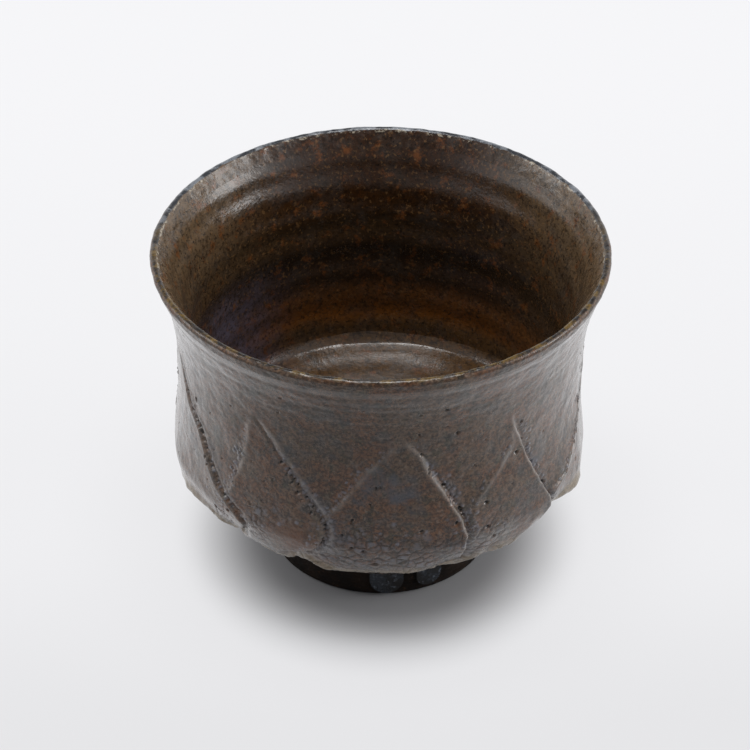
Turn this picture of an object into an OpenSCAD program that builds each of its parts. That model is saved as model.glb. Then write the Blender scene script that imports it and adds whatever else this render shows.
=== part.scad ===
// Guinomi, a small thrown stoneware sake cup with petals carved round its belly.
// The origin is the centre of the foot's resting face, +Z is up and the photographed side faces -Y.
// Every profile is a half section: x is the distance from the wheel's axis and y is the height.

/* [Bowl] */
// Height from the table to the top of the lip
cup_h = 55; // [52:0.5:64]
// Diameter across the lip
lip_d = 72; // [69:0.5:78]
// Diameter at the waist, under the flared lip
waist_d = 64.4; // [62:0.2:67]
// Diameter at the belly, across the petals
belly_d = 66.2; // [64:0.2:70]
// Height of the waist
waist_z = 37; // [34:0.5:40]
// Height of the belly's widest line
belly_z = 22; // [20:0.5:24]
// Thickness of the lip, glaze included
lip_t = 2.2; // [1.8:0.1:3]
// Lean of the lip from the vertical, in degrees
lip_lean = 21; // [10:1:30]

/* [Well] */
// Thickness of the wall at the waist, glaze included
wall_t = 2.7; // [2.4:0.1:4]
// Height of the middle of the well's floor
well_floor_z = 13.4; // [12:0.2:15]
// Diameter of the dished floor, where it turns up into the wall
well_floor_d = 53; // [48:1:55]
// Rise of the dished floor from its middle to its edge
floor_dish = 3.8; // [1:0.1:5]

/* [Foot] */
// Diameter of the foot where it joins the bowl
foot_d = 36; // [32:0.5:40]
// Height of the foot, and depth of the recess inside it
foot_h = 5; // [4.8:0.1:6.5]
// Radial width of the foot ring where it joins the bowl
foot_w = 5; // [4:0.1:6]
// Inward slope of each side of the foot ring down to its resting face
foot_taper = 0.5; // [0.1:0.1:0.9]
// Size of the worn chamfers on the foot's two bottom edges
foot_wear = 0.5; // [0.2:0.1:0.8]
// Diameter of the small boss that turning leaves in the recess
nub_d = 7; // [4:0.5:10]
// Height of that boss
nub_h = 0.6; // [0.3:0.1:0.7]

/* [Glaze] */
// Thickness of the glaze coat
glaze_t = 0.45; // [0.3:0.05:0.6]
// Height of the brown glaze band that wraps the lip
lip_band_h = 2.4; // [2:0.1:5]
// Thickness of the two runs of glaze over the foot
run_t = 0.6; // [0.45:0.05:0.9]
// Width of the wider run
run_w = 5.4; // [3:0.2:6]
// Height of the wider run's tip over the table
run_tip_z = 0.9; // [0.7:0.1:2]

/* [Petals] */
// Number of carved petals
petal_count = 9; // [7:1:10]
// Height of the petals' tips
petal_tip_z = 42.5; // [40:0.5:44]
// Height where a petal's right edge meets the next petal's left one
petal_foot_z = 22; // [20:0.5:24]
// Depth of the one-sided chip behind a petal's right edge
chip_depth = 0.95; // [0.5:0.05:1.2]
// Radius of the chip's hollow
chip_r = 30; // [20:1:40]
// Depth of the light flute along a petal's left edge
light_depth = 0.4; // [0.3:0.05:0.7]
// Radius of the gouge that cuts it
gouge_r = 3.6; // [2.5:0.1:6]

/* [Hidden] */
$fn = 120;

// How far a cutter runs past what it cuts
overrun = 6;
// Steps of each curved stretch of a profile, and of the rounded lip
curve_steps = 7;
lip_steps = 8;

// The potter's hand: for each petal round from the left of the front, its tip's shift from the even pattern
// and how far its right and left cuts run round the cup, all in shares of the petals' pitch
petal_turn_share = -2;
tip_shift_shares = [0, 0.06, 0.15, -0.03, 0.15, 0.1, 0.08, 0.1, 0.08];
chip_run_shares = [0.87, 0.54, 0.44, 0.36, 0.44, 0.49, 0.51, 0.48, 0.47];
light_run_shares = [0.45, 0.22, 0.55, 0.38, 0.8, 0.5, 0.5, 0.5, 0.5];
// How deep each chip goes, in shares of the chip's depth, and how deep it starts at the petal's tip
chip_depth_shares = [0.6, 0.6, 0.8, 1.35, 0.95, 1, 0.85, 1.05, 0.9];
chip_start_share = 0.15;
// A chip is one straight cut, or two where it runs further round the cup than this, in degrees
long_run = 28;
// Where along its cut the hollow faces straight out, so that its floor rises away from the edge lower down
hollow_turn_share = 0.35;
// Each flute is two straight strokes: the first one's end, in shares of the run, the drop and the depth
stroke_run_share = 0.52;
stroke_drop_share = 0.5;
stroke_depth_share = 0.85;
// How far a stroke runs on past its end, less than the glaze's thickness so that no end shows through the coat
stroke_lap = glaze_t / 2;
petal_pitch = 360 / petal_count;

// Where the runs of glaze lie: turns from the front in degrees, and the narrower one's size to the wider's
run_turns = [3, 25];
run_size_shares = [1, 0.8];
run_tip_shares = [1, 1.6];

lip_half = lip_t / 2;
lip_c = [lip_d / 2 - lip_half, cup_h - lip_half];
lip_out = [cos(lip_lean), -sin(lip_lean)];
lip_up = [sin(lip_lean), cos(lip_lean)];
lip_band_z = cup_h - lip_band_h;
foot_r = foot_d / 2;
belly_r = belly_d / 2;
waist_r = waist_d / 2;
well_r = waist_r - wall_t;
well_edge = [well_floor_d / 2, well_floor_z + floor_dish];
floor_lean = atan2(2 * floor_dish, well_edge.x);
floor_way = [cos(floor_lean), sin(floor_lean)];

// How far each end's handle reaches along its stretch, as shares of that stretch
under_handle_shares = [0.4, 0.28];
belly_handle_share = 0.32;
flare_handle_shares = [0.45, 0.28];
well_handle_shares = [0.93, 0.9];
dish_handle_share = 0.5;

function mix(a, b, share) = a + (b - a) * share;
function bezier(p, t) =
    pow(1 - t, 3) * p[0] + 3 * t * pow(1 - t, 2) * p[1] + 3 * t * t * (1 - t) * p[2] + pow(t, 3) * p[3];
function bezier_way(p, t) =
    pow(1 - t, 2) * (p[1] - p[0]) + 2 * t * (1 - t) * (p[2] - p[1]) + t * t * (p[3] - p[2]);
// The point at share t of curve p, moved to the left of the way that the curve runs
function curve_point(p, t, inset) =
    let (way = bezier_way(p, t)) bezier(p, t) + inset * [-way.y, way.x] / norm(way);
function curve(p, inset) = [for (i = [0:curve_steps]) curve_point(p, i / curve_steps, inset)];
// All points but the first, for a stretch that goes on from another one's end
function onward(points) = [for (i = [1:len(points) - 1]) points[i]];

// The outer surface of the glaze, from the foot up to the lip
lip_outer = lip_c + lip_half * lip_out;
lip_inner = lip_c - lip_half * lip_out;
flare_h = cup_h - waist_z;
under_curve = [
    [foot_r + glaze_t, foot_h],
    [mix(foot_r, belly_r, under_handle_shares[0]), mix(foot_h, belly_z, under_handle_shares[1])],
    [belly_r, mix(belly_z, foot_h, belly_handle_share)],
    [belly_r, belly_z]
];
belly_curve = [
    [belly_r, belly_z],
    [belly_r, mix(belly_z, waist_z, belly_handle_share)],
    [waist_r, mix(waist_z, belly_z, belly_handle_share)],
    [waist_r, waist_z]
];
flare_curve = [
    [waist_r, waist_z],
    [waist_r, waist_z + flare_h * flare_handle_shares[0]],
    lip_outer - flare_h * flare_handle_shares[1] * lip_up,
    lip_outer
];
// The surface of the glaze inside, from the lip down to the middle of the floor
throat_curve = [
    lip_inner,
    lip_inner - flare_h * flare_handle_shares[1] * lip_up,
    [well_r, waist_z + flare_h * flare_handle_shares[0]],
    [well_r, waist_z]
];
well_curve = [
    [well_r, waist_z],
    [min(well_r, belly_r - wall_t), mix(waist_z, well_edge.y, well_handle_shares[0])],
    well_edge + (well_r - well_edge.x) * well_handle_shares[1] * floor_way,
    well_edge
];
dish_curve = [
    well_edge,
    well_edge - well_edge.x * dish_handle_share * floor_way,
    [well_edge.x * dish_handle_share, well_floor_z],
    [0, well_floor_z]
];

function outside(inset) =
    concat(curve(under_curve, inset), onward(curve(belly_curve, inset)), onward(curve(flare_curve, inset)));
function inside(inset) =
    concat(curve(throat_curve, inset), onward(curve(well_curve, inset)), onward(curve(dish_curve, inset)));
function lip_round(inset) = [
    for (i = [0:lip_steps])
        let (a = 180 * i / lip_steps - lip_lean)
        lip_c + (lip_half - inset) * [cos(a), sin(a)]
];
// The radius of the glaze outside at height z
function radius_at(z) = lookup(z, [for (p = outside(0)) [p.y, p.x]]);
// A place on the cup, turned from the front towards +X
function place(turn, r, z) = [r * sin(turn), -r * cos(turn), z];

// The cup above its foot with nothing hollowed out, its surface sunk by inset
module filled_bowl(inset) {
    skin = concat([[foot_r + glaze_t - inset, foot_h]], onward(outside(inset)), onward(lip_round(inset)));
    rotate_extrude()
        polygon(concat([[0, foot_h]], skin, [[0, skin[len(skin) - 1].y]]));
}

// The space over the inside surface, open at the top, grown by inset
module well_space(inset) {
    rotate_extrude()
        polygon(concat([[0, cup_h + overrun], [lip_c.x - lip_half + inset, cup_h + overrun]], inside(inset)));
}

// One straight stroke of radius r, whose deepest line runs from place a up to place b, tail past a and lead
// past b
module stroke(a, b, r, inset, tail, lead) {
    way = b - a;
    reach = norm(way);
    translate(a)
        rotate([-asin(way.y / reach), atan2(way.x, way.z), 0])
            translate([0, -r, -tail])
                cylinder(r = r + inset, h = tail + reach + lead);
}

// Point p turned by angle round the cup
function turned(p, angle) =
    [p.x * cos(angle) - p.y * sin(angle), p.x * sin(angle) + p.y * cos(angle), p.z];

// One flute: two strokes from a petal's tip down beside it, ending run degrees round the cup
module flute(tip_turn, run, depth, inset) {
    mid_turn = run * stroke_run_share;
    mid_z = mix(petal_tip_z, petal_foot_z, stroke_drop_share);
    tip = place(0, radius_at(petal_tip_z), petal_tip_z);
    mid = place(mid_turn, radius_at(mid_z) - depth * stroke_depth_share, mid_z);
    end = place(run, radius_at(petal_foot_z) - depth, petal_foot_z);
    rotate([0, 0, tip_turn])
        stroke(mid, tip, gouge_r, inset, stroke_lap, stroke_lap);
    rotate([0, 0, tip_turn + mid_turn])
        stroke(turned(end, -mid_turn), turned(mid, -mid_turn), gouge_r, inset, overrun, 2 * stroke_lap);
}

// One cut of a chip, each end given as its turn, its height and its depth
module hollow(low, high, inset) {
    face = mix(high[0], low[0], hollow_turn_share);
    rotate([0, 0, face])
        stroke(
            place(low[0] - face, radius_at(low[1]) - low[2], low[1]),
            place(high[0] - face, radius_at(high[1]) - high[2], high[1]),
            chip_r, inset, 2 * overrun, overrun
        );
}

// One chip: a wide hollow, kept to the right of a straight wall from the petal's tip down to its corner
module chip(tip_turn, run, depth, inset) {
    reach = radius_at(petal_tip_z) * sin(run / 2);
    drop = petal_tip_z - petal_foot_z;
    lean = 2 * reach / drop;
    back = inset * sqrt(1 + lean * lean);
    top = petal_tip_z + inset;
    high = [-run / 2, petal_tip_z, depth * chip_start_share];
    mid = [0, mix(petal_tip_z, petal_foot_z, stroke_drop_share), depth * stroke_depth_share];
    low = [run / 2, petal_foot_z, depth];
    rotate([0, 0, tip_turn + run / 2])
        intersection() {
            rotate([90, 0, 0])
                linear_extrude(height = lip_d)
                    polygon([
                        [-reach - back - inset * lean, top],
                        [-reach - back + (petal_tip_z + overrun) * lean, -overrun],
                        [lip_d, -overrun],
                        [lip_d, top]
                    ]);
            union() {
                if (run > long_run) {
                    hollow(mid, high, inset);
                    hollow(low, mid, inset);
                } else {
                    hollow(low, high, inset);
                }
            }
        }
}

// Everything that was carved out between the petals
module petal_cuts(inset) {
    for (i = [0:petal_count - 1]) {
        k = i % len(tip_shift_shares);
        tip_turn = petal_pitch * (petal_turn_share + i + tip_shift_shares[k]);
        chip(tip_turn, petal_pitch * chip_run_shares[k], chip_depth * chip_depth_shares[k], inset);
        flute(tip_turn, -petal_pitch * light_run_shares[k], light_depth, inset);
    }
}

// Everything of the cup higher than the lip band's lower edge, when up, or lower than it
module lip_zone(up) {
    translate([0, 0, up ? lip_band_z : -overrun])
        cylinder(d = lip_d + 2 * overrun, h = up ? lip_band_h + 2 * overrun : lip_band_z + overrun);
}

// The bare clay above the foot
module clay_body() {
    color("#5b4a3c") {
        difference() {
            filled_bowl(glaze_t);
            petal_cuts(glaze_t);
            well_space(glaze_t);
        }
        translate([0, 0, foot_h - nub_h])
            cylinder(d = nub_d, h = nub_h);
    }
}

// The turned ring that the cup stands on, chamfered by wear at its resting face
module foot_ring() {
    inner_r = foot_r - foot_w;
    color("#2c241f")
        rotate_extrude()
            polygon([
                [inner_r, foot_h],
                [inner_r + foot_taper, foot_wear],
                [inner_r + foot_taper + foot_wear, 0],
                [foot_r - foot_taper - foot_wear, 0],
                [foot_r - foot_taper, foot_wear],
                [foot_r, foot_h]
            ]);
}

// The coat outside, from the foot up to the lip band
module outer_glaze() {
    color("#8d8078")
        difference() {
            filled_bowl(0);
            petal_cuts(0);
            difference() {
                filled_bowl(glaze_t);
                petal_cuts(glaze_t);
            }
            lip_zone(true);
        }
}

// The coat inside the well, up to the lip band
module inner_glaze() {
    color("#5e4a38")
        difference() {
            well_space(glaze_t);
            well_space(0);
            lip_zone(true);
        }
}

// The band that wraps the lip and joins the two coats
module lip_glaze() {
    color("#3a2c22")
        difference() {
            filled_bowl(0);
            well_space(0);
            difference() {
                filled_bowl(glaze_t);
                well_space(glaze_t);
            }
            lip_zone(false);
        }
}

// The runs of thick glaze that stopped on the foot's outer side, each a round tip under a straight stem
module foot_glaze_runs() {
    color("#7d858c")
        difference() {
            intersection() {
                rotate_extrude()
                    polygon([
                        [0, 0],
                        [foot_r - foot_taper, 0],
                        [foot_r - foot_taper + run_t, foot_wear],
                        [foot_r + glaze_t, foot_h],
                        [0, foot_h]
                    ]);
                for (i = [0:len(run_turns) - 1])
                    rotate([0, 0, run_turns[i]])
                        run_outline(run_w * run_size_shares[i], run_tip_z * run_tip_shares[i]);
            }
            foot_core();
        }
}

// One run's outline, cut straight back into the foot
module run_outline(w, tip_z) {
    translate([0, 0, tip_z + w / 2])
        rotate([90, 0, 0])
            cylinder(d = w, h = foot_d);
    translate([-w / 2, -foot_d, tip_z + w / 2])
        cube([w, foot_d, foot_h]);
}

// The foot ring's outer side, filled in
module foot_core() {
    rotate_extrude()
        polygon([
            [0, -overrun],
            [foot_r - foot_taper - foot_wear, -overrun],
            [foot_r - foot_taper - foot_wear, 0],
            [foot_r - foot_taper, foot_wear],
            [foot_r, foot_h],
            [foot_r, foot_h + overrun],
            [0, foot_h + overrun]
        ]);
}

clay_body();
foot_ring();
outer_glaze();
inner_glaze();
lip_glaze();
foot_glaze_runs();
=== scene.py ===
"""A guinomi, a small thrown and carved stoneware sake cup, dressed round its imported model.

Lengths are in millimetres up to the moment a mesh is made, where MM turns them to metres. Turns are in
degrees round the cup from the front, which faces -Y, towards +X.
"""

from __future__ import annotations

import logging
import math
from collections.abc import Sequence
from dataclasses import dataclass, field
from enum import Enum

import bmesh
import bpy
import numpy as np
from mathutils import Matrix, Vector

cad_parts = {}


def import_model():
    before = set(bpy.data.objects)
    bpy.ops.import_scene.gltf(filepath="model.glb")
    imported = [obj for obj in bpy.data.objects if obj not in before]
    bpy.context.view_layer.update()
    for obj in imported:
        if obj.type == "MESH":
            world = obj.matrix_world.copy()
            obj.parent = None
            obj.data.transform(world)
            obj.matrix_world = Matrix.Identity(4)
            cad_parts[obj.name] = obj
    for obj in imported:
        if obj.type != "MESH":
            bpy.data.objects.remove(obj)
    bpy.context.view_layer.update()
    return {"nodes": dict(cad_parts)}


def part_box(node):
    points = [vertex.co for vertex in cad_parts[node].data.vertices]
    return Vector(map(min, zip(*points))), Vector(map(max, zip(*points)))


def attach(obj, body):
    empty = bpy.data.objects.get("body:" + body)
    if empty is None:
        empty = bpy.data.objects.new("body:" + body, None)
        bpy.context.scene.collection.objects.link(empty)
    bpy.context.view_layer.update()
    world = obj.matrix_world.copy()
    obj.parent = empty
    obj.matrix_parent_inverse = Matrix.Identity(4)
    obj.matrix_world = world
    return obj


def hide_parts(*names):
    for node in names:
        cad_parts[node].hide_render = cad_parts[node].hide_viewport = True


LOG = logging.getLogger("guinomi")
MM = 0.001
Array = np.ndarray
Socket = bpy.types.NodeSocket


# Colour and node helpers


def srgb(code: str) -> tuple[float, float, float, float]:
    """Turn an sRGB hex code into the linear colour that a shader takes.

    Args:
        code: Six hex digits, red first.

    Returns:
        Linear red, green and blue, and an alpha of 1.
    """
    parts = [int(code[i:i + 2], 16) / 255 for i in (0, 2, 4)]
    linear = [p / 12.92 if p <= 0.04045 else ((p + 0.055) / 1.055) ** 2.4 for p in parts]
    return (linear[0], linear[1], linear[2], 1.0)


def feed(tree: bpy.types.NodeTree, node: bpy.types.Node, inputs: dict) -> None:
    """Set a node's inputs, and link those that are given an output socket.

    Args:
        tree: The node's tree.
        node: The node.
        inputs: Socket names or numbers, each with a value or an output socket.
    """
    for key, value in inputs.items():
        if isinstance(value, Socket):
            tree.links.new(value, node.inputs[key])
        else:
            node.inputs[key].default_value = value


def add_node(tree: bpy.types.NodeTree, kind: str, inputs: dict | None = None, **settings) -> bpy.types.Node:
    """Add one node with its settings, values and links.

    Args:
        tree: The tree that gets the node.
        kind: The node's type name.
        inputs: Socket names or numbers, each with a value, or with an output socket to link.
        settings: Attributes of the node itself.

    Returns:
        The new node.
    """
    node = tree.nodes.new(kind)
    for name, value in settings.items():
        setattr(node, name, value)
    feed(tree, node, inputs or {})
    return node


class Step(Enum):
    """The steps of a node tree: each a node, the inputs that its values go to, its output and its settings."""

    PLUS = ("ShaderNodeMath", (0, 1), 0, {"operation": "ADD"})
    MINUS = ("ShaderNodeMath", (0, 1), 0, {"operation": "SUBTRACT"})
    TIMES = ("ShaderNodeMath", (0, 1), 0, {"operation": "MULTIPLY"})
    OVER = ("ShaderNodeMath", (0, 1), 0, {"operation": "DIVIDE"})
    TIMES_PLUS = ("ShaderNodeMath", (0, 1, 2), 0, {"operation": "MULTIPLY_ADD"})
    LARGER = ("ShaderNodeMath", (0, 1), 0, {"operation": "MAXIMUM"})
    TURN = ("ShaderNodeMath", (0, 1), 0, {"operation": "ARCTAN2"})
    SIZE = ("ShaderNodeMath", (0,), 0, {"operation": "ABSOLUTE"})
    FLOOR = ("ShaderNodeMath", (0,), 0, {"operation": "FLOOR"})
    SINE = ("ShaderNodeMath", (0,), 0, {"operation": "SINE"})
    COSINE = ("ShaderNodeMath", (0,), 0, {"operation": "COSINE"})
    SHIFT = ("ShaderNodeVectorMath", (0, 1), 0, {"operation": "ADD"})
    STRETCH = ("ShaderNodeVectorMath", (0, 1), 0, {"operation": "MULTIPLY"})
    SCALE = ("ShaderNodeVectorMath", (0, "Scale"), 0, {"operation": "SCALE"})
    LENGTH = ("ShaderNodeVectorMath", (0,), "Value", {"operation": "LENGTH"})
    RISE = ("ShaderNodeMapRange", (0, 1, 2, 3, 4), 0, {"interpolation_type": "SMOOTHSTEP"})
    BLEND = ("ShaderNodeMix", (0, 6, 7), 2, {"data_type": "RGBA"})
    STAIN = ("ShaderNodeMix", (0, 6, 7), 2, {"data_type": "RGBA", "blend_type": "MULTIPLY"})


def put(tree: bpy.types.NodeTree, step: Step, *values: object) -> Socket:
    """Add one step to a tree.

    Args:
        tree: The tree that gets the node.
        step: The step.
        values: What goes into it, each a value or an output socket, in the step's own order.

    Returns:
        The step's output.
    """
    kind, keys, output, settings = step.value
    return add_node(tree, kind, dict(zip(keys, values)), **settings).outputs[output]


def smooth(low: float, high: float, x: Array) -> Array:
    """Rise smoothly from 0 at low to 1 at high; low may be the larger."""
    t = np.clip((x - low) / (high - low), 0.0, 1.0)
    return t * t * (3.0 - 2.0 * t)


def bump(x: Array, width: float) -> Array:
    """Return a soft bump of height 1 round zero, width wide each way."""
    return np.exp(-((x / width) ** 2))


# Noise that is the same each run


@dataclass(frozen=True)
class Noise:
    """Smooth three-dimensional value noise from a hashed lattice, from -1 to 1."""

    seed: int

    def _lattice(self, i: Array, j: Array, k: Array) -> Array:
        """Give each lattice point its own number from 0 to 1."""
        n = i * 374761393 + j * 668265263 + k * 2147483647 + self.seed * 1274126177
        n = (n ^ (n >> 13)) * 1274126177
        n = n ^ (n >> 16)
        return (n & 0xFFFFFF) / float(0xFFFFFF)

    def at(self, points: Array, size: float) -> Array:
        """Sample the noise.

        Args:
            points: Places in millimetres, one per row.
            size: The size of one lump in millimetres.

        Returns:
            One value from -1 to 1 for each place.
        """
        q = points / size
        base = np.floor(q).astype(np.int64)
        t = q - base
        t = t * t * t * (t * (t * 6.0 - 15.0) + 10.0)
        total = np.zeros(len(points))
        for di in (0, 1):
            for dj in (0, 1):
                for dk in (0, 1):
                    weight = (
                        (t[:, 0] if di else 1.0 - t[:, 0])
                        * (t[:, 1] if dj else 1.0 - t[:, 1])
                        * (t[:, 2] if dk else 1.0 - t[:, 2])
                    )
                    total += weight * self._lattice(base[:, 0] + di, base[:, 1] + dj, base[:, 2] + dk)
        return total * 2.0 - 1.0

    def layered(self, points: Array, size: float, layers: int) -> Array:
        """Add up layers of the noise, each half as large and half as strong as the one before.

        Args:
            points: Places in millimetres, one per row.
            size: The size of the largest lumps in millimetres.
            layers: How many layers there are.

        Returns:
            One value from -1 to 1 for each place.
        """
        total = np.zeros(len(points))
        for i in range(layers):
            total += Noise(self.seed + i).at(points, size / 2**i) / 2**i
        return total / (2.0 - 2.0 ** (1 - layers))


# The cup's form


@dataclass(frozen=True)
class Bezier:
    """A cubic curve in the half section: x is the radius and y the height."""

    points: tuple[tuple[float, float], ...]

    def at(self, t: Array) -> Array:
        """Give the places at shares t of the curve, one per row."""
        p = np.array(self.points)
        t = t[:, None]
        return (1 - t) ** 3 * p[0] + 3 * t * (1 - t) ** 2 * p[1] + 3 * t * t * (1 - t) * p[2] + t**3 * p[3]


@dataclass
class Section:
    """A line in the half section, walked by its own length."""

    line: Array
    length: Array = field(init=False)

    def __post_init__(self) -> None:
        """Measure the line."""
        steps = np.linalg.norm(np.diff(self.line, axis=0), axis=1)
        self.length = np.concatenate([[0.0], np.cumsum(steps)])

    def at(self, s: Array) -> tuple[Array, Array]:
        """Give radius and height at the lengths s."""
        return np.interp(s, self.length, self.line[:, 0]), np.interp(s, self.length, self.line[:, 1])

    def normal(self, s: Array) -> tuple[Array, Array]:
        """Give the outward direction at the lengths s, to the right of the way the line runs.

        Args:
            s: Lengths along the line. Within 0.31 mm of an end, the direction beside it counts.

        Returns:
            The direction's radius and height.
        """
        step, edge = 0.3, 0.31
        s = np.clip(s, edge, self.length[-1] - edge)
        r0, z0 = self.at(s - step)
        r1, z1 = self.at(s + step)
        size = np.hypot(r1 - r0, z1 - z0)
        return (z1 - z0) / size, -(r1 - r0) / size

    def length_at_height(self, z: float) -> float:
        """Find where a line that only rises, or only falls, reaches the height z."""
        way = 1 if self.line[-1, 1] > self.line[0, 1] else -1
        return float(np.interp(way * z, way * self.line[:, 1], self.length))


@dataclass(frozen=True)
class CupForm:
    """The cup's driving sizes in millimetres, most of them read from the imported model's boxes."""

    height: float
    lip_r: float
    foot_r: float
    foot_h: float
    floor_z: float
    waist_r: float = 32.2
    belly_r: float = 33.1
    waist_z: float = 37.0
    belly_z: float = 22.0
    lip_t: float = 1.35
    lip_lean: float = math.radians(21.0)
    lip_open: float = math.radians(37.0)
    wall_t: float = 2.7
    well_floor_r: float = 26.5
    floor_dish: float = 3.8
    glaze_t: float = 0.45
    band_h: float = 2.4
    under_shares: tuple[float, float] = (0.4, 0.28)
    belly_share: float = 0.32
    flare_shares: tuple[float, float] = (0.45, 0.28)
    open_share: float = 0.22
    well_shares: tuple[float, float] = (0.93, 0.9)
    dish_share: float = 0.5

    @classmethod
    def from_frame(cls) -> CupForm:
        """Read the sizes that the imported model's boxes hold."""
        lip_low, lip_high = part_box("lip_glaze")
        foot_low, foot_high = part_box("foot_ring")
        well_low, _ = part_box("inner_glaze")
        return cls(
            height=lip_high.z / MM,
            lip_r=lip_high.x / MM,
            foot_r=foot_high.x / MM,
            foot_h=foot_high.z / MM,
            floor_z=well_low.z / MM + cls.glaze_t,
        )

    @property
    def band_z(self) -> float:
        """Give the height where the lip's band meets the other coats."""
        return self.height - self.band_h

    @property
    def lip_centre(self) -> tuple[float, float]:
        """Give the centre of the lip's round."""
        return self.lip_r - self.lip_t / 2, self.height - self.lip_t / 2

    def lip_side(self, side: int) -> tuple[float, float]:
        """Give the point where the lip's round meets the outer wall, for side 1, or the inner, for -1.

        Args:
            side: 1 or -1.

        Returns:
            The point's radius and height.
        """
        r, z = self.lip_centre
        reach = side * self.lip_t / 2
        lean = self.lip_lean if side > 0 else self.lip_open
        return r + reach * math.cos(lean), z - reach * math.sin(lean)

    def outside(self) -> Section:
        """Draw the outer wall, from the foot up to the lip."""
        flare = self.height - self.waist_z
        top = self.lip_side(1)
        back = flare * self.flare_shares[1]
        rise = (self.belly_z - self.foot_h) * self.belly_share
        turn = (self.waist_z - self.belly_z) * self.belly_share
        start = (self.foot_r + self.glaze_t, self.foot_h)
        curves = (
            Bezier((
                start,
                (
                    self.foot_r + (self.belly_r - self.foot_r) * self.under_shares[0],
                    self.foot_h + (self.belly_z - self.foot_h) * self.under_shares[1],
                ),
                (self.belly_r, self.belly_z - rise),
                (self.belly_r, self.belly_z),
            )),
            Bezier((
                (self.belly_r, self.belly_z),
                (self.belly_r, self.belly_z + turn),
                (self.waist_r, self.waist_z - turn),
                (self.waist_r, self.waist_z),
            )),
            Bezier((
                (self.waist_r, self.waist_z),
                (self.waist_r, self.waist_z + flare * self.flare_shares[0]),
                (top[0] - back * math.sin(self.lip_lean), top[1] - back * math.cos(self.lip_lean)),
                top,
            )),
        )
        return Section(joined(curves))

    def inside(self) -> Section:
        """Draw the well, from the lip down to the middle of its floor."""
        flare = self.height - self.waist_z
        top = self.lip_side(-1)
        back = flare * self.open_share
        well_r = self.waist_r - self.wall_t
        edge = (self.well_floor_r, self.floor_z + self.floor_dish)
        lean = math.atan2(2 * self.floor_dish, edge[0])
        reach = (well_r - edge[0]) * self.well_shares[1]
        dish = edge[0] * self.dish_share
        curves = (
            Bezier((
                top,
                (top[0] - back * math.sin(self.lip_open), top[1] - back * math.cos(self.lip_open)),
                (well_r, self.waist_z + flare * self.flare_shares[0]),
                (well_r, self.waist_z),
            )),
            Bezier((
                (well_r, self.waist_z),
                (well_r, self.waist_z - (self.waist_z - edge[1]) * self.well_shares[0]),
                (edge[0] + reach * math.cos(lean), edge[1] + reach * math.sin(lean)),
                edge,
            )),
            Bezier((
                edge,
                (edge[0] - dish * math.cos(lean), edge[1] - dish * math.sin(lean)),
                (dish, self.floor_z),
                (0.0, self.floor_z),
            )),
        )
        return Section(joined(curves))

    def lip_round(self) -> Section:
        """Draw the round of the lip, from its outer side over the top to its inner side."""
        angle = np.linspace(-self.lip_lean, math.pi - self.lip_open, 48)
        r, z = self.lip_centre
        half = self.lip_t / 2
        return Section(np.stack([r + half * np.cos(angle), z + half * np.sin(angle)], axis=1))


def joined(curves: Sequence[Bezier], steps: int = 160) -> Array:
    """Sample curves that follow one another, and drop the points they share.

    Args:
        curves: The curves, each beginning where the last one ends.
        steps: How many places each curve gives.

    Returns:
        Radius and height, one place per row.
    """
    t = np.linspace(0.0, 1.0, steps)
    return np.concatenate([c.at(t)[(1 if i else 0):] for i, c in enumerate(curves)])


# Meshes and modifiers


def store_masks(mesh: bpy.types.Mesh, masks: dict[str, Array]) -> None:
    """Keep values for each vertex in the mesh, by attribute name."""
    for key, values in masks.items():
        mesh.attributes.new(key, "FLOAT", "POINT").data.foreach_set("value", values.astype(np.float32))


def build_mesh(name: str, points: Array, quads: Array, tris: Array) -> bpy.types.Mesh:
    """Make a mesh from plain arrays.

    Args:
        name: The mesh's name.
        points: Vertex places in millimetres, one per row.
        quads: Vertex numbers of the four-sided faces, one face per row.
        tris: Vertex numbers of the triangles, one face per row.

    Returns:
        A smooth-shaded mesh in metres.
    """
    mesh = bpy.data.meshes.new(name)
    mesh.vertices.add(len(points))
    mesh.vertices.foreach_set("co", (points * MM).astype(np.float32).ravel())
    corners = np.concatenate([quads.ravel(), tris.ravel()]).astype(np.int32)
    starts = np.concatenate([np.arange(len(quads)) * 4, len(quads) * 4 + np.arange(len(tris)) * 3])
    mesh.loops.add(len(corners))
    mesh.loops.foreach_set("vertex_index", corners)
    mesh.polygons.add(len(starts))
    mesh.polygons.foreach_set("loop_start", starts.astype(np.int32))
    mesh.update(calc_edges=True)
    mesh.validate()
    mesh.polygons.foreach_set("use_smooth", np.ones(len(mesh.polygons), dtype=bool))
    return mesh


def put_in_scene(name: str, data: bpy.types.ID) -> bpy.types.Object:
    """Put a mesh, a lamp or a camera in the scene."""
    made = bpy.data.objects.new(name, data)
    bpy.context.scene.collection.objects.link(made)
    return made


def add_piece(name: str, mesh: bpy.types.Mesh, material: bpy.types.Material) -> bpy.types.Object:
    """Put a mesh in the scene with its finish."""
    mesh.materials.clear()
    mesh.materials.append(material)
    return put_in_scene(name, mesh)


def new_tree(name: str, inputs: dict[str, str]) -> bpy.types.NodeTree:
    """Start a geometry tree with named inputs after its geometry.

    Args:
        name: The tree's name.
        inputs: Each input's socket type by its name, without the word that all socket types begin with.

    Returns:
        The tree, with its sockets in place.
    """
    tree = bpy.data.node_groups.new(name, "GeometryNodeTree")
    for label, kind in {"Geometry": "Geometry", **inputs}.items():
        tree.interface.new_socket(label, in_out="INPUT", socket_type=f"NodeSocket{kind}")
    tree.interface.new_socket("Geometry", in_out="OUTPUT", socket_type="NodeSocketGeometry")
    return tree


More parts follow.
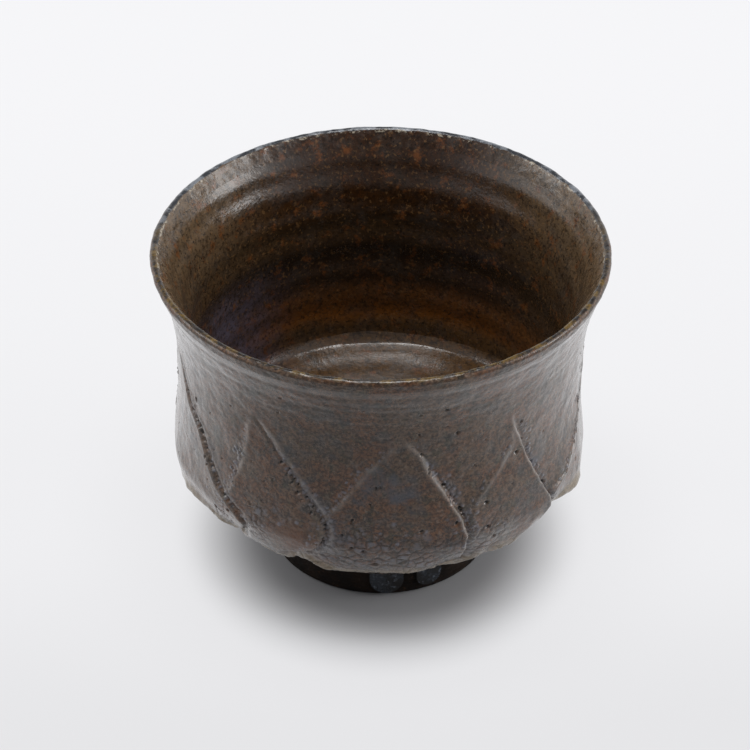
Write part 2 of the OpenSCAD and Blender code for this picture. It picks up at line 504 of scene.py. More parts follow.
def apply_tree(piece: bpy.types.Object, tree: bpy.types.NodeTree, values: dict[str, object]) -> None:
    """Run a geometry tree on a piece and keep the result as its plain mesh.

    Args:
        piece: The object whose mesh goes into the tree.
        tree: The geometry tree.
        values: The value of each named input.
    """
    modifier = piece.modifiers.new(tree.name, "NODES")
    modifier.node_group = tree
    for item in tree.interface.items_tree:
        if item.in_out == "INPUT" and item.name in values:
            modifier[item.identifier] = values[item.name]
    graph = bpy.context.evaluated_depsgraph_get()
    ready = piece.evaluated_get(graph)
    made = bpy.data.meshes.new_from_object(ready, preserve_all_data_layers=True, depsgraph=graph)
    piece.modifiers.remove(modifier)
    before = piece.data
    piece.data = made
    made.name = before.name
    bpy.data.meshes.remove(before)


def ways_round(points: Array, columns: int) -> Array:
    """Turn places in the half section into rings of places round the axis.

    Args:
        points: Radius and height of each row.
        columns: How many places each ring has.

    Returns:
        An array of rows by columns by three.
    """
    turn = np.arange(columns) * 2 * math.pi / columns
    r = points[:, 0][:, None]
    z = np.repeat(points[:, 1][:, None], columns, axis=1)
    return np.stack([r * np.sin(turn), -r * np.cos(turn), z], axis=2)


# The carved wall


@dataclass(frozen=True)
class Petal:
    """One carved petal, by the lines of its two cut edges, each place a turn and a height.

    The right edge is a step of a depth with a groove under it, sharper the less its softness. The shares say
    how far the step's crest lies outside it, how rich each edge is in beads, and how far the petal's lower
    right side is lifted and its corner raised.
    """

    right: tuple[tuple[float, float], ...]
    left: tuple[tuple[float, float], ...]
    depth: float = 0.95
    groove: float = 0.3
    burr_outside: float = 0.0
    beads: float = 0.7
    left_beads: float = 0.35
    lift: float = 1.0
    softness: float = 1.0
    corner: float = 1.0


def plain_petal(tip: float, depth: float = 0.95, lift: float = 1.0, corner: float = 0.6) -> Petal:
    """Lay out a petal of the usual shape with its tip at a turn."""
    right = (
        (0, 41.8), (4, 37.5), (9, 33.4), (13.5, 29.5), (17.5, 25.6), (20, 22), (19.5, 19), (16, 16.5),
        (10, 15.2),
    )
    left = ((0, 41.8), (-1.5, 38.5), (-6, 33.5), (-11, 29), (-16, 25), (-20, 22), (-21, 20))
    return Petal(
        tuple((tip + turn, z) for turn, z in right),
        tuple((tip + turn, z) for turn, z in left),
        depth,
        lift=lift,
        corner=corner,
    )


@dataclass(frozen=True)
class Spot:
    """A soft oval place on the wall: its turn and height, its reach in degrees, its rise, and its strength."""

    turn: float
    z: float
    reach: float
    rise: float
    strength: float = 1.0


@dataclass(frozen=True)
class BeadKind:
    """A kind of glaze bead: its way from the cut as mean and spread, and its radius and height as ranges."""

    aside: tuple[float, float]
    radius: tuple[float, float]
    height: tuple[float, float]


@dataclass(frozen=True)
class Carving:
    """Where the knife went: nine petals round the belly, and the glaze's pits, beads and crawled places."""

    petals: tuple[Petal, ...] = (
        Petal(
            right=(
                (-80, 41.5), (-73.4, 37.4), (-67.3, 33.9), (-60.7, 31.6), (-55, 27.4), (-49.9, 24.2),
                (-43.2, 21.7), (-41, 19.5), (-44, 17), (-50, 15.4),
            ),
            left=((-80, 41.5), (-82, 38.5), (-86, 33.5), (-91, 28.5), (-96, 23), (-98, 21)),
            depth=0.4,
            groove=0.2,
            burr_outside=0.7,
            beads=0.6,
            left_beads=0.3,
            softness=1.3,
            lift=0.35,
            corner=0.1,
        ),
        Petal(
            right=(
                (-37.5, 42), (-33, 38.5), (-26.4, 33.6), (-22.5, 30.4), (-19.2, 27.8), (-16.1, 25.6),
                (-15.5, 23.1), (-17.5, 20.2), (-22, 18), (-27, 17),
            ),
            left=((-37.5, 42), (-38.5, 39.5), (-41, 33), (-44.5, 26), (-46.5, 22.5), (-47, 21)),
            depth=0.32,
            groove=0.16,
            burr_outside=0.7,
            beads=0.95,
            left_beads=1.0,
            softness=1.6,
            lift=0.3,
            corner=0.1,
        ),
        Petal(
            right=(
                (6, 42.3), (10.4, 38.6), (13.2, 34.9), (17.5, 31.2), (19.8, 28.2), (22.6, 25.5),
                (23.7, 22.5), (23.2, 18.5), (21.8, 15.7), (17, 14.8),
            ),
            left=((6, 42.3), (1.4, 38.1), (-2.9, 35.9), (-9.7, 30), (-15.5, 25.2), (-16.5, 23)),
            depth=0.75,
            groove=0.2,
            burr_outside=0.15,
            beads=1.0,
            left_beads=0.7,
        ),
        Petal(
            right=(
                (38.7, 41.4), (42.8, 34.8), (47.2, 28.3), (52.3, 22.4), (52.9, 20.5), (50, 17.6),
                (44, 15.8), (38.9, 14.6),
            ),
            left=((38.7, 41.4), (39.2, 36), (33.3, 31.4), (28, 27.8), (24.2, 23.6), (23.6, 21)),
            depth=1.3,
            groove=0.25,
            beads=0.55,
            left_beads=0.3,
        ),
        Petal(
            right=((86, 41), (92, 35), (97, 29), (102, 23.5), (103, 20), (99, 17), (93, 15.5)),
            left=(
                (86, 41), (84, 37), (78.4, 32.5), (71.4, 27.5), (66.4, 25.1), (62.5, 23.2),
                (56, 21.6), (53, 20.5),
            ),
            depth=0.7,
            lift=0.3,
            corner=0.0,
        ),
        plain_petal(124, 0.95),
        plain_petal(163, 0.8),
        plain_petal(204, 1.0),
        plain_petal(243, 0.5, 0.3, 0.0),
    )
    pits: tuple[tuple[float, float], ...] = (
        (-19.3, 52.4), (17.3, 47.1), (21.1, 41.5), (10.4, 42.3), (13.2, 34.7), (17.5, 31.9), (19.2, 28.7),
        (22.1, 27.0), (30.0, 26.8), (30.4, 22.1), (33.1, 19.3), (10.9, 24.3), (-7.8, 26.3), (-10.4, 23.4),
        (-8.0, 21.1), (-4.8, 20.4), (-1.6, 17.6), (-0.2, 32.7), (-1.3, 32.5), (42.3, 38.8), (47.8, 29.5),
        (52.5, 24.3), (52.8, 22.9), (40.2, 33.8), (20.5, 25.0), (-2.9, 29.4), (-28.2, 34.7), (-25.8, 33.9),
        (-26.4, 33.0), (-24.9, 31.6), (-23.1, 30.1), (-21.9, 29.0), (-20.1, 28.0), (-19.0, 27.0),
        (-63.6, 36.3), (-60.6, 32.5), (-59.5, 31.4), (-56.7, 28.0), (-55.5, 27.0), (-51.9, 20.0),
        (-45.9, 21.4), (78.4, 32.5), (75.0, 30.0), (71.4, 27.5), (69.0, 26.3), (66.4, 25.1), (62.5, 23.2),
    )
    rim: tuple[tuple[float, float], ...] = (
        (-180, 16.0), (-162, 15.0), (-142, 17.0), (-120, 15.2), (-100, 17.4), (-80, 17.6), (-65, 18.2),
        (-59, 17.8), (-52, 17.0), (-44, 15.2), (-36, 13.4), (-29, 14.6), (-21, 16.0), (-13, 14.4), (-4, 14.4),
        (7.8, 15.2), (16, 14.4), (23.5, 13.9), (30, 15.6), (38, 16.0), (47, 15.6), (53, 16.8), (62, 18.6),
        (72, 18.8), (88, 17.0), (104, 15.4), (125, 16.8), (143, 15.2), (163, 17.0), (180, 16.0),
    )
    hollows: tuple[Spot, ...] = (
        Spot(93, 27, 16, 8, 0.9), Spot(-93, 28, 14, 8, 0.3), Spot(-72, 19, 12, 4, -0.7),
        Spot(-48, 15, 9, 3, 0.4), Spot(57, 16.2, 6, 2, 1.6), Spot(71, 18.4, 7, 2.5, -0.9),
    )
    crawled: tuple[Spot, ...] = (Spot(-33, 24, 9, 3, 0.9), Spot(32, 22, 8, 4, 0.8))
    burnt: Spot = Spot(-24, 20.5, 8.5, 3.8)
    warm: tuple[Spot, ...] = (Spot(-58, 20, 10, 4.5, 0.5),)
    cool: tuple[Spot, ...] = (Spot(3, 33, 9, 4, 0.6),)
    edge_beads: BeadKind = BeadKind((0.7, 0.3), (0.17, 0.36), (0.1, 0.2))
    outer_beads: BeadKind = BeadKind((1.5, 0.55), (0.2, 0.46), (0.05, 0.12))
    bead_step: tuple[float, float] = (0.26, 0.7)
    lone_beads: int = 60
    stray_pits: int = 160
    deepens: tuple[float, float] = (41.8, 27.0)
    runs_out: tuple[float, float] = (13.2, 17.5)
    narrowest: float = 1.7
    groove_at: float = 0.42
    groove_w: float = 0.26
    burr: float = 0.17
    shingle: float = 0.55
    lobe_z: float = 15.6
    lobe_bulge: float = 0.5
    roll: float = 0.75
    roll_w: float = 0.72
    pit_r: float = 0.27
    pit_depth: float = 0.5
    turn_per_mm: float = 57.3 / 32.5


@dataclass
class WallField:
    """How far the glazed wall stands out from its plain section, and what shows there, over a grid."""

    form: CupForm
    section: Section
    carving: Carving
    columns: int
    lengths: Array
    stand: Array = field(init=False)
    masks: dict[str, Array] = field(init=False)
    radius: Array = field(init=False)
    height: Array = field(init=False)
    turns: Array = field(init=False)

    def __post_init__(self) -> None:
        """Carve the grid."""
        self.radius, self.height = self.section.at(self.lengths)
        self.turns = np.arange(self.columns) * 360 / self.columns
        shape = (len(self.lengths), self.columns)
        self.stand = np.zeros(shape)
        names = ("crawl", "pit", "ridge", "warm", "cool", "bead", "rim")
        self.masks = {name: np.zeros(shape) for name in names}
        self._cut_petals()
        self._roll_rim()
        self._string_beads()
        self._sink_pits()
        self._wander()
        self._paint()

    def _grid_noise(self, seed: int, size: float, layers: int = 2) -> Array:
        """Sample noise on the wall's plain surface, as a grid."""
        places = ways_round(np.stack([self.radius, self.height], axis=1), self.columns)
        return Noise(seed).layered(places.reshape(-1, 3), size, layers).reshape(self.stand.shape)

    def _edge_turns(self, line: Sequence[tuple[float, float]]) -> Array:
        """Give an edge's turn in each row, as a column, from its places, whose heights fall."""
        turns, heights = np.array(line)[::-1].T
        return np.interp(self.height, heights, turns)[:, None]

    def _past(self, turns: Array | float) -> Array:
        """Give how far each place of the grid lies past a turn, from -180 to 180 degrees."""
        return (self.turns[None, :] - turns + 180) % 360 - 180

    def _spot(self, spot: Spot) -> Array:
        """Lay a soft oval place over the grid."""
        up = (self.height[:, None] - spot.z) / spot.rise
        return spot.strength * bump(self._past(spot.turn) / spot.reach, 1.0) * bump(up, 1.0)

    def _cut_petals(self) -> None:
        """Cut a step between each petal and the next, and round each petal's face."""
        petals = self.carving.petals
        stray = 0.3 * self._grid_noise(11, 4.0) + 0.14 * self._grid_noise(12, 1.3)
        wander = self._grid_noise(13, 2.2)
        proud = np.zeros(self.stand.shape)
        chip = np.zeros(self.stand.shape)
        for k, petal in enumerate(petals):
            self._cut_edge(petal, petals[(k + 1) % len(petals)], stray, wander, proud, chip)
            self._round_face(petal, petals[k - 1], proud)
        self.stand += proud - chip

    def _cut_edge(
        self, petal: Petal, after: Petal, stray: Array, wander: Array, proud: Array, chip: Array,
    ) -> None:
        """Cut the step and the groove along a petal's right edge, and raise the glaze on both sides of it.

        Args:
            petal: The petal whose right edge is cut.
            after: The next petal, up to whose left edge the cut slopes out.
            stray: How far the edge strays from its line, in millimetres.
            wander: How the edge's strength wanders, from -1 to 1.
            proud: What stands out, which is added to.
            chip: What is cut away, which is added to.
        """
        carving = self.carving
        z = self.height[:, None]
        tip_z = petal.right[0][1]
        per_degree = (self.radius * math.pi / 180)[:, None]
        right = self._edge_turns(petal.right)
        across = (self._edge_turns(after.left) - right + 180) % 360 - 180
        offset = self._past(right)
        slope = np.gradient(right[:, 0] * per_degree[:, 0], self.lengths)[:, None]
        square = per_degree / np.sqrt(1 + slope**2)
        past = offset * square + stray
        width = np.maximum(across * square, carving.narrowest)
        left = width - past
        beyond = offset > -60

        share = smooth(*carving.deepens, z) ** 0.8 * smooth(*carving.runs_out, z) * (z < tip_z)
        flank = np.clip(1 - past / width, 0, 1) ** 1.15
        step = smooth(-0.5 * petal.softness, 0.65 * petal.softness, past)
        chip += np.where(past < width, petal.depth * share * flank * step, 0) * beyond
        along = smooth(tip_z + 0.4, tip_z - 3, z) * smooth(14.5, 18, z)
        groove = bump(past - carving.groove_at, carving.groove_w)
        chip += petal.groove * along * groove * (0.75 + 0.45 * wander)

        out = petal.burr_outside
        burr = (1 - out) * bump(past + 0.32, 0.36) + out * bump(past - 1.3, 0.42)
        proud += carving.burr * along * burr * (0.9 + 0.6 * wander)
        left_z = after.left[0][1]
        top_left = smooth(left_z, left_z - 4, z) * smooth(19.5, 23, z) * smooth(1.8, 3.5, width)
        proud += 0.14 * bump(left, 0.5) * top_left * (0.8 + 0.5 * wander)

        # Painted highlight with the glaze's pale break: a pale line along each cut's raised edge, and another
        # high on the next petal's left edge.
        crest = (1 - out) * bump(past + 0.2, 0.4) + out * bump(past - 1.25, 0.4)
        self.masks["ridge"] += np.where(beyond & (offset < 60), crest * along, 0) * (0.6 + 0.6 * wander)
        self.masks["ridge"] += 0.5 * bump(left - 0.1, 0.42) * top_left * (0.7 + 0.8 * wander)
        self.masks["cool"] += smooth(0.1, 0.9, past) * smooth(3.6, 1.3, past) * share**0.5 * 0.5
        self.masks["crawl"] += smooth(0.2, 0.8, past) * smooth(2.6, 1.3, past) * share**0.6 * 0.5
        # A broken dark line in the pit mask along the groove's bottom: dark pitting, and painted shade in the
        # crease.
        dark = 0.5 / petal.softness
        self.masks["pit"] += dark * bump(past - 0.38, 0.16) * smooth(0.2, 0.6, wander) * share

    def _round_face(self, petal: Petal, before: Petal, proud: Array) -> None:
        """Lift a petal's lower right side, hollow its face and round its lower lobe.

        Args:
            petal: The petal.
            before: The petal on its left, from whose right edge the face begins.
            proud: What stands out, which is added to.
        """
        carving = self.carving
        z = self.height[:, None]
        right = self._edge_turns(petal.right)
        offset = self._past(right)
        span = (right - self._edge_turns(before.right)) % 360
        over = np.clip(1 + offset / span, 0, 1)
        inside = (offset < 0) & (offset > -span)
        lift = carving.shingle * petal.lift * (smooth(0.1, 1.0, over) - 0.45)
        lift = lift * smooth(36, 22, z) * smooth(12.5, 18, z)
        dip = 0.35 * (1 - ((over - 0.5) * 2) ** 2) * smooth(40, 30, z) * smooth(14, 20, z)
        proud += np.where(inside, lift + (0.15 - dip) * smooth(41, 32, z) * smooth(13, 18, z), 0)
        lobe = smooth(0.0, 0.3, over) * smooth(1.0, 0.8, over)
        proud += np.where(inside, 0.3 * (lobe - 0.6), 0) * bump(z - 18.0, 3.0)
        up = z - carving.lobe_z
        bulge = np.where(up > 0, bump(up, 2.4), bump(up, 0.9))
        proud += np.where(inside, carving.lobe_bulge * lobe, 0) * bulge
        per_degree = (self.radius * math.pi / 180)[:, None]
        corner_z = petal.right[-3][1] + 1.5
        corner = bump((1 - over) * span * per_degree, 3.6) * bump(z - corner_z, 3.6)
        proud += np.where(inside, 0.45 * petal.corner * corner, 0)

    def _roll_rim(self) -> None:
        """Roll the glaze's thick lower rim, draw the wall in below it, and hollow the flanks."""
        turns, heights = np.array(self.carving.rim).T
        turn = self._past(0.0)
        line = np.interp(turn, turns, heights) + 0.3 * self._grid_noise(16, 3.0)
        above = self.height[:, None] - line
        broken = 0.65 + 0.5 * self._grid_noise(18, 4.0)
        side = bump(np.abs(turn) - 72, 26)
        self.stand += self.carving.roll * bump(above, self.carving.roll_w) * broken
        self.stand -= (0.6 + 0.5 * side) * smooth(0.1, -1.5, above) * smooth(-10.0, -4.0, above)
        # The rim mask paints the roll's upper side pale tan, partly painted highlight where the roll faces up
        # to the light.
        self.masks["rim"] = np.clip(bump(above - 0.45, 0.75) * broken * 1.5, 0, 1)
        for hollow in self.carving.hollows:
            self.stand -= self._spot(hollow)

    def _window(self, turn: float, z: float, reach: float) -> tuple[tuple, Array, Array]:
        """Find the part of the grid round a place.

        Args:
            turn: The place's turn.
            z: The place's height.
            reach: How far to look each way in millimetres.

        Returns:
            The window into the grid, and how far its points lie from the place, across and along.
        """
        middle = self.section.length_at_height(z)
        rows = np.abs(self.lengths - middle) < reach
        across = self._past(turn)[0] * float(self.section.at(np.array([middle]))[0][0]) * math.pi / 180
        columns = np.abs(across) < reach
        return np.ix_(rows, columns), across[columns][None, :], (self.lengths[rows] - middle)[:, None]

    def _bead(self, turn: float, z: float, r: float, height: float) -> None:
        """Set one bead of thick glaze on the wall."""
        window, x, y = self._window(turn, z, 2.0 * r)
        far = np.sqrt(x * x + y * y) / r
        dome = np.clip(1 - far**2, 0, 1) ** 0.75
        self.stand[window] += height * dome - 0.06 * bump(far - 1.2, 0.22)
        self.masks["bead"][window] = np.maximum(self.masks["bead"][window], smooth(1.05, 0.6, far))
        # Painted shade: a dark ring in the pit mask round the bead's foot.
        self.masks["pit"][window] = np.maximum(self.masks["pit"][window], 0.3 * bump(far - 1.18, 0.16))

    def _pit(self, turn: float, z: float, r: float, strength: float, lean: float) -> None:
        """Sink one pit into the wall, longer one way, with a low lip round it."""
        window, x, y = self._window(turn, z, 1.6)
        u = x * math.cos(lean) + y * math.sin(lean)
        v = y * math.cos(lean) - x * math.sin(lean)
        far = np.sqrt((u / (r * 1.3)) ** 2 + (v / (r * 0.85)) ** 2)
        dent = self.carving.pit_depth * np.exp(-(far**2.6))
        self.stand[window] += strength * (0.05 * bump(far - 1.7, 0.5) - dent)
        self.masks["pit"][window] += strength * np.exp(-((far / 1.05) ** 3))

    def _string_beads(self) -> None:
        """String beads of thick glaze along the cuts, with pits between them, and a few by themselves."""
        rng = np.random.default_rng(17)
        carving = self.carving
        per_mm = carving.turn_per_mm
        for petal in carving.petals:
            for line, side, rich in ((petal.right, 1, petal.beads), (petal.left, -1, petal.left_beads)):
                turns, heights = np.array(line)[::-1].T
                tip_z = line[0][1]
                z = tip_z - 2.0
                while z > 17.5:
                    z -= rng.uniform(*carving.bead_step)
                    turn = float(np.interp(z, heights, turns))
                    fade = float(smooth(tip_z - 1.0, tip_z - 8.0, np.array(z)))
                    for kind, chance, share in (
                        (carving.edge_beads, rich * (0.35 + 0.65 * fade), 0.5 + 0.5 * fade),
                        (carving.outer_beads, 0.55 * rich * fade, 1.0),
                    ):
                        aside, r = rng.normal(*kind.aside), rng.uniform(*kind.radius)
                        height = rng.uniform(*kind.height)
                        if rng.random() < chance:
                            self._bead(turn + side * aside * per_mm, z, r, height * share)
                    aside, r = rng.normal(0.28, 0.12), rng.uniform(0.12, 0.24)
                    if side > 0 and rng.random() < 0.4 * fade:
                        self._pit(turn + aside * per_mm, z, r, 0.9, rng.uniform(0, math.pi))
        for _ in range(carving.lone_beads):
            turn, z = rng.normal(0, 26), rng.uniform(15.5, 26)
            if rng.random() < 0.35:
                turn = rng.uniform(0, 360)
            self._bead(turn, z, rng.uniform(0.2, 0.46), rng.uniform(0.02, 0.05))

    def _sink_pits(self) -> None:
        """Sink the listed pits, and small strays all over."""
        rng = np.random.default_rng(41)
        for turn, z in self.carving.pits:
            self._pit(turn, z, self.carving.pit_r * rng.uniform(0.6, 1.1), 1.0, rng.uniform(0, math.pi))
        for _ in range(self.carving.stray_pits):
            turn, z = rng.uniform(0, 360), rng.uniform(8, 50)
            self._pit(turn, z, rng.uniform(0.09, 0.16), rng.uniform(0.3, 0.8), rng.uniform(0, math.pi))

    def _wander(self) -> None:
        """Add the thrower's rings, the slow unevenness of a hand-made wall and the glaze's own waves."""
        z = self.height[:, None]
        round_ = 2 * math.pi * self.turns[None, :] / 360
        along = 2 * math.pi * self.lengths[:, None]
        ring = np.sin(along / 2.3 + round_) + 0.7 * np.sin(along / 1.45 + 2 * round_ + 1.0)
        line = bump(z - 51.0 - 0.25 * np.sin(round_), 0.5) * 0.05
        line = line + bump(z - 47.9 + 0.3 * np.sin(round_ + 2), 0.6) * 0.05
        rings = 0.014 * ring * (0.5 + 0.5 * self._grid_noise(20, 9.0, 1))
        self.stand += (rings - line) * smooth(40, 44, z)
        waves = ((21, 17.0, 2, 0.16), (24, 3.2, 2, 0.07), (27, 1.1, 2, 0.035), (33, 0.62, 1, 0.022))
        for seed, size, layers, height in waves:
            self.stand += height * self._grid_noise(seed, size, layers)
        self.stand *= smooth(self.form.height - 2.3, self.form.height - 4.2, z)
        self.stand *= smooth(self.form.foot_h, self.form.foot_h + 2.5, z)

    def _paint(self) -> None:
        """Set where the glaze crawled, burnt warm or pooled blue."""
        z = self.height[:, None]
        turn = self._past(0.0)
        patch = self._grid_noise(31, 5.0, 3)
        fine = self._grid_noise(35, 1.8)
        zone = bump(turn - 2, 22) * smooth(27.5, 22, z + 0.09 * (turn - 2)) * smooth(10.5, 14, z)
        burnt = self._spot(self.carving.burnt)
        crawl = self.masks["crawl"] + 1.25 * zone + sum(self._spot(spot) for spot in self.carving.crawled)
        crawl += 0.75 * smooth(22, 16, z) * smooth(9, 13, z) * smooth(-0.1, 0.35, patch)
        crawl += 0.7 * smooth(0.25, 0.55, patch) * smooth(33, 26, z)
        warm = 1.2 * burnt + 0.35 * smooth(0.3, 0.6, patch)
        warm += sum(self._spot(spot) for spot in self.carving.warm)
        cool = self.masks["cool"] + 0.5 * zone + 0.35 * smooth(0.1, 0.5, -patch)
        cool += sum(self._spot(spot) for spot in self.carving.cool)
        self.masks["crawl"] = crawl * (0.75 + 0.5 * fine) * (1 - 0.8 * burnt)
        self.masks["warm"] = warm * (0.8 + 0.6 * fine)
        self.masks["cool"] = cool * (0.8 + 0.4 * fine)
        for name, values in self.masks.items():
            self.masks[name] = np.clip(values, 0, 1)

    def calm_borders(self) -> None:
        """Keep the crawled relief off the two ends, where the stretch meets its neighbours."""
        far = np.minimum(np.arange(len(self.lengths)), np.arange(len(self.lengths))[::-1])
        self.masks["relief"] = self.masks["crawl"] * smooth(1.0, 5.0, far)[:, None]

    def rings(self, sink: float = 0.0, rows: slice = slice(None)) -> Array:
        """Give the wall's places, sunk by a depth, as rows by columns by three."""
        normal_r, normal_z = self.section.normal(self.lengths)
        stand = self.stand - sink
        r = self.radius[:, None] + stand * normal_r[:, None]
        z = self.height[:, None] + stand * normal_z[:, None]
        turn = np.radians(self.turns)[None, :]
        return np.stack([r * np.sin(turn), -r * np.cos(turn), z], axis=2)[rows]


def band_faces(rows: int, columns: int, start: int = 0, flip: bool = False) -> Array:
    """List the four-sided faces between rings that follow one another.

    Args:
        rows: How many rings there are.
        columns: How many places each ring has.
        start: The number of the first place.
        flip: Whether the faces turn the other way.

    Returns:
        Vertex numbers, one face per row.
    """
    j, i = np.meshgrid(np.arange(rows - 1), np.arange(columns), indexing="ij")
    k = (i + 1) % columns
    a, b, c, d = j * columns + i, j * columns + k, (j + 1) * columns + k, (j + 1) * columns + i
    quads = np.stack([a, b, c, d], axis=2).reshape(-1, 4) + start
    return quads[:, ::-1] if flip else quads


def border_normals(rings: Array) -> tuple[Array, Array]:
    """Give the surface's normals along the second ring and the last but one.

    Args:
        rings: Places as rows by columns by three.

    Returns:
        The normals of the two rings.
    """
    found = []
    for row in (1, len(rings) - 2):
        along = rings[row + 1] - rings[row - 1]
        across = np.roll(rings[row], -1, axis=0) - np.roll(rings[row], 1, axis=0)
        normal = np.cross(across, along)
        found.append(normal / np.linalg.norm(normal, axis=1)[:, None])
    return found[0], found[1]


def set_normals(mesh: bpy.types.Mesh, numbers: Array, normals: Array) -> None:
    """Fix the shading at a piece's edge, so that it goes on smoothly into its neighbour.

    Args:
        mesh: The finished mesh.
        numbers: The vertices at the edge.
        normals: The normal of each of them.
    """
    every = np.zeros((len(mesh.vertices), 3))
    every[numbers] = normals
    mesh.normals_split_custom_set_from_vertices(every.tolist())


def set_rim_normals(mesh: bpy.types.Mesh, rims: Sequence[tuple[Section, float]]) -> None:
    """Fix the shading of a turned piece along the rims where it meets another piece.

    Args:
        mesh: The finished mesh.
        rims: Each a section and the length along it where the rim lies.
    """
    co = np.zeros(len(mesh.vertices) * 3)
    mesh.vertices.foreach_get("co", co)
    co = co.reshape(-1, 3) / MM
    r = np.hypot(co[:, 0], co[:, 1])
    numbers, normals = [], []
    for section, length in rims:
        at_r, at_z = section.at(np.array([length]))
        nr, nz = section.normal(np.array([length]))
        hits = np.nonzero((np.abs(r - at_r[0]) < 0.01) & (np.abs(co[:, 2] - at_z[0]) < 0.01))[0]
        numbers.append(hits)
        out = nr[0] * co[hits, :2] / r[hits][:, None]
        normals.append(np.column_stack([out, np.full(len(hits), nz[0])]))
    set_normals(mesh, np.concatenate(numbers), np.concatenate(normals))


def stitch(fine: Array, coarse: Array, flip: bool) -> Array:
    """Join a ring to one with half as many places, with three triangles for each coarse step.

    Args:
        fine: Vertex numbers of the fine ring.
        coarse: Vertex numbers of the coarse ring, each beside every second fine one.
        flip: Whether the faces turn the other way.

    Returns:
        Vertex numbers of the triangles.
    """
    i = np.arange(len(coarse))
    c0, c1 = coarse, coarse[(i + 1) % len(coarse)]
    f0, f1, f2 = fine[2 * i], fine[(2 * i + 1) % len(fine)], fine[(2 * i + 2) % len(fine)]
    tris = np.concatenate([
        np.stack([f0, f1, c0], axis=1),
        np.stack([f1, c1, c0], axis=1),
        np.stack([f1, f2, c1], axis=1),
    ])
    return tris if flip else tris[:, ::-1]


def shell_mesh(name: str, field_: WallField, thickness: float) -> bpy.types.Mesh:
    """Close a stretch of wall into a thin shell whose hidden side has half the places each way.

    Args:
        name: The mesh's name.
        field_: The wall, with one row more at each end than the shell takes.
        thickness: How far in the hidden side lies.

    Returns:
        The shell's mesh.
    """
    outer = field_.rings(rows=slice(1, -1))
    hidden = field_.rings(thickness, rows=slice(1, -1))[::2, ::2]
    rows, columns = outer.shape[:2]
    low_rows, low_columns = hidden.shape[:2]
    start = rows * columns
    fine = np.arange(start).reshape(rows, columns)
    coarse = np.arange(low_rows * low_columns).reshape(low_rows, low_columns) + start
    quads = np.concatenate([
        band_faces(rows, columns),
        band_faces(low_rows, low_columns, start, flip=True),
    ])
    tris = np.concatenate([stitch(fine[0], coarse[0], False), stitch(fine[-1], coarse[-1], True)])
    points = np.concatenate([outer.reshape(-1, 3), hidden.reshape(-1, 3)])
    mesh = build_mesh(name, points, quads, tris)
    bare = np.zeros(low_rows * low_columns)
    store_masks(mesh, {
        key: np.concatenate([values[1:-1].ravel(), bare]) for key, values in field_.masks.items()
    })
    return mesh


# Finishes


class Tone(Enum):
    """The main colours of the glazes outside, in the well and round the lip, in sRGB hex."""

    ASH_DARK = "1e150e"
    ASH_BODY = "614b38"
    ASH_WARM = "67452d"
    ASH_COOL = "4d4947"
    # ASH_PALE paints the ridges pale, partly as painted highlight.
    ASH_PALE = "a39c95"
    IRON_DARK = "130b06"
    IRON_WARM = "683b18"
    IRON_COOL = "34312e"
    LIP_DARK = "15100d"
    LIP_BODY = "2b2119"
    LIP_WARM = "6a521f"
    # LIP_PALE paints the cream flecks, partly as painted glints.
    LIP_PALE = "a59b8a"


@dataclass(frozen=True)
class Mottle:
    """A layer of patches: size in millimetres, the noise where they begin and are full, share and colour."""

    size_mm: float
    low: float
    high: float
    share: float
    code: str
    detail: float = 4.0
    rough: float = 0.65


@dataclass
class ShaderKit:
    """One material under construction, with its usual sources at hand."""

    name: str
    material: bpy.types.Material = field(init=False)
    tree: bpy.types.NodeTree = field(init=False)
    shader: bpy.types.Node = field(init=False)
    place: Socket = field(init=False)

    def __post_init__(self) -> None:
        """Start the material with a Principled shader."""
        self.material = bpy.data.materials.new(self.name)
        self.material.use_nodes = True
        self.tree = self.material.node_tree
        self.shader = self.tree.nodes["Principled BSDF"]
        self.place = add_node(self.tree, "ShaderNodeTexCoord").outputs["Object"]

    def put(self, step: Step, *values: object) -> Socket:
        """Add one step to the material's tree."""
        return put(self.tree, step, *values)

    def give(self, values: dict[str, object]) -> None:
        """Set or link the shader's own inputs, by name."""
        feed(self.tree, self.shader, values)

    def noise(self, size: float, detail: float = 3.0, rough: float = 0.55) -> Socket:
        """Give noise with lumps of a size in millimetres.

        Args:
            size: The size of a lump.
            detail: How many finer layers lie over the lumps.
            rough: How strong the finer layers are.

        Returns:
            The noise, mostly from 0.3 to 0.7.
        """
        scale = 1 / (size * MM)
        inputs = {"Vector": self.place, "Scale": scale, "Detail": detail, "Roughness": rough}
        return add_node(self.tree, "ShaderNodeTexNoise", inputs).outputs["Fac"]

    def mask(self, name: str) -> Socket:
        """Read one of the mesh's own masks."""
        return add_node(self.tree, "ShaderNodeAttribute", attribute_name=name).outputs["Fac"]

    def mottled(self, tint: object, layers: Sequence[Mottle]) -> Socket:
        """Lay patches of colour over one another.

        Args:
            tint: The colour under them, as a value or a socket.
            layers: The patches, the lowest first.

        Returns:
            The colour with its patches.
        """
        for layer in layers:
            grain = self.noise(layer.size_mm, layer.detail, layer.rough)
            share = self.put(Step.RISE, grain, layer.low, layer.high, 0.0, layer.share)
            tint = self.put(Step.BLEND, share, tint, srgb(layer.code))
        return tint

    def sheen(self, size: float, smoothest: float, roughest: float) -> Socket:
        """Give a roughness that wanders between two values, in patches of a size in millimetres."""
        return self.put(Step.RISE, self.noise(size, 3.0, 0.6), 0.35, 0.7, smoothest, roughest)

    def bumped(self, heights: Sequence[tuple[Socket, float]]) -> None:
        """Lay bumps over one another.

        Args:
            heights: Each a height socket and its full height in millimetres.
        """
        below = {}
        for height, size in heights:
            inputs = {"Height": height, "Distance": size * MM, "Strength": 1.0, **below}
            below = {"Normal": add_node(self.tree, "ShaderNodeBump", inputs).outputs["Normal"]}
        self.give(below)


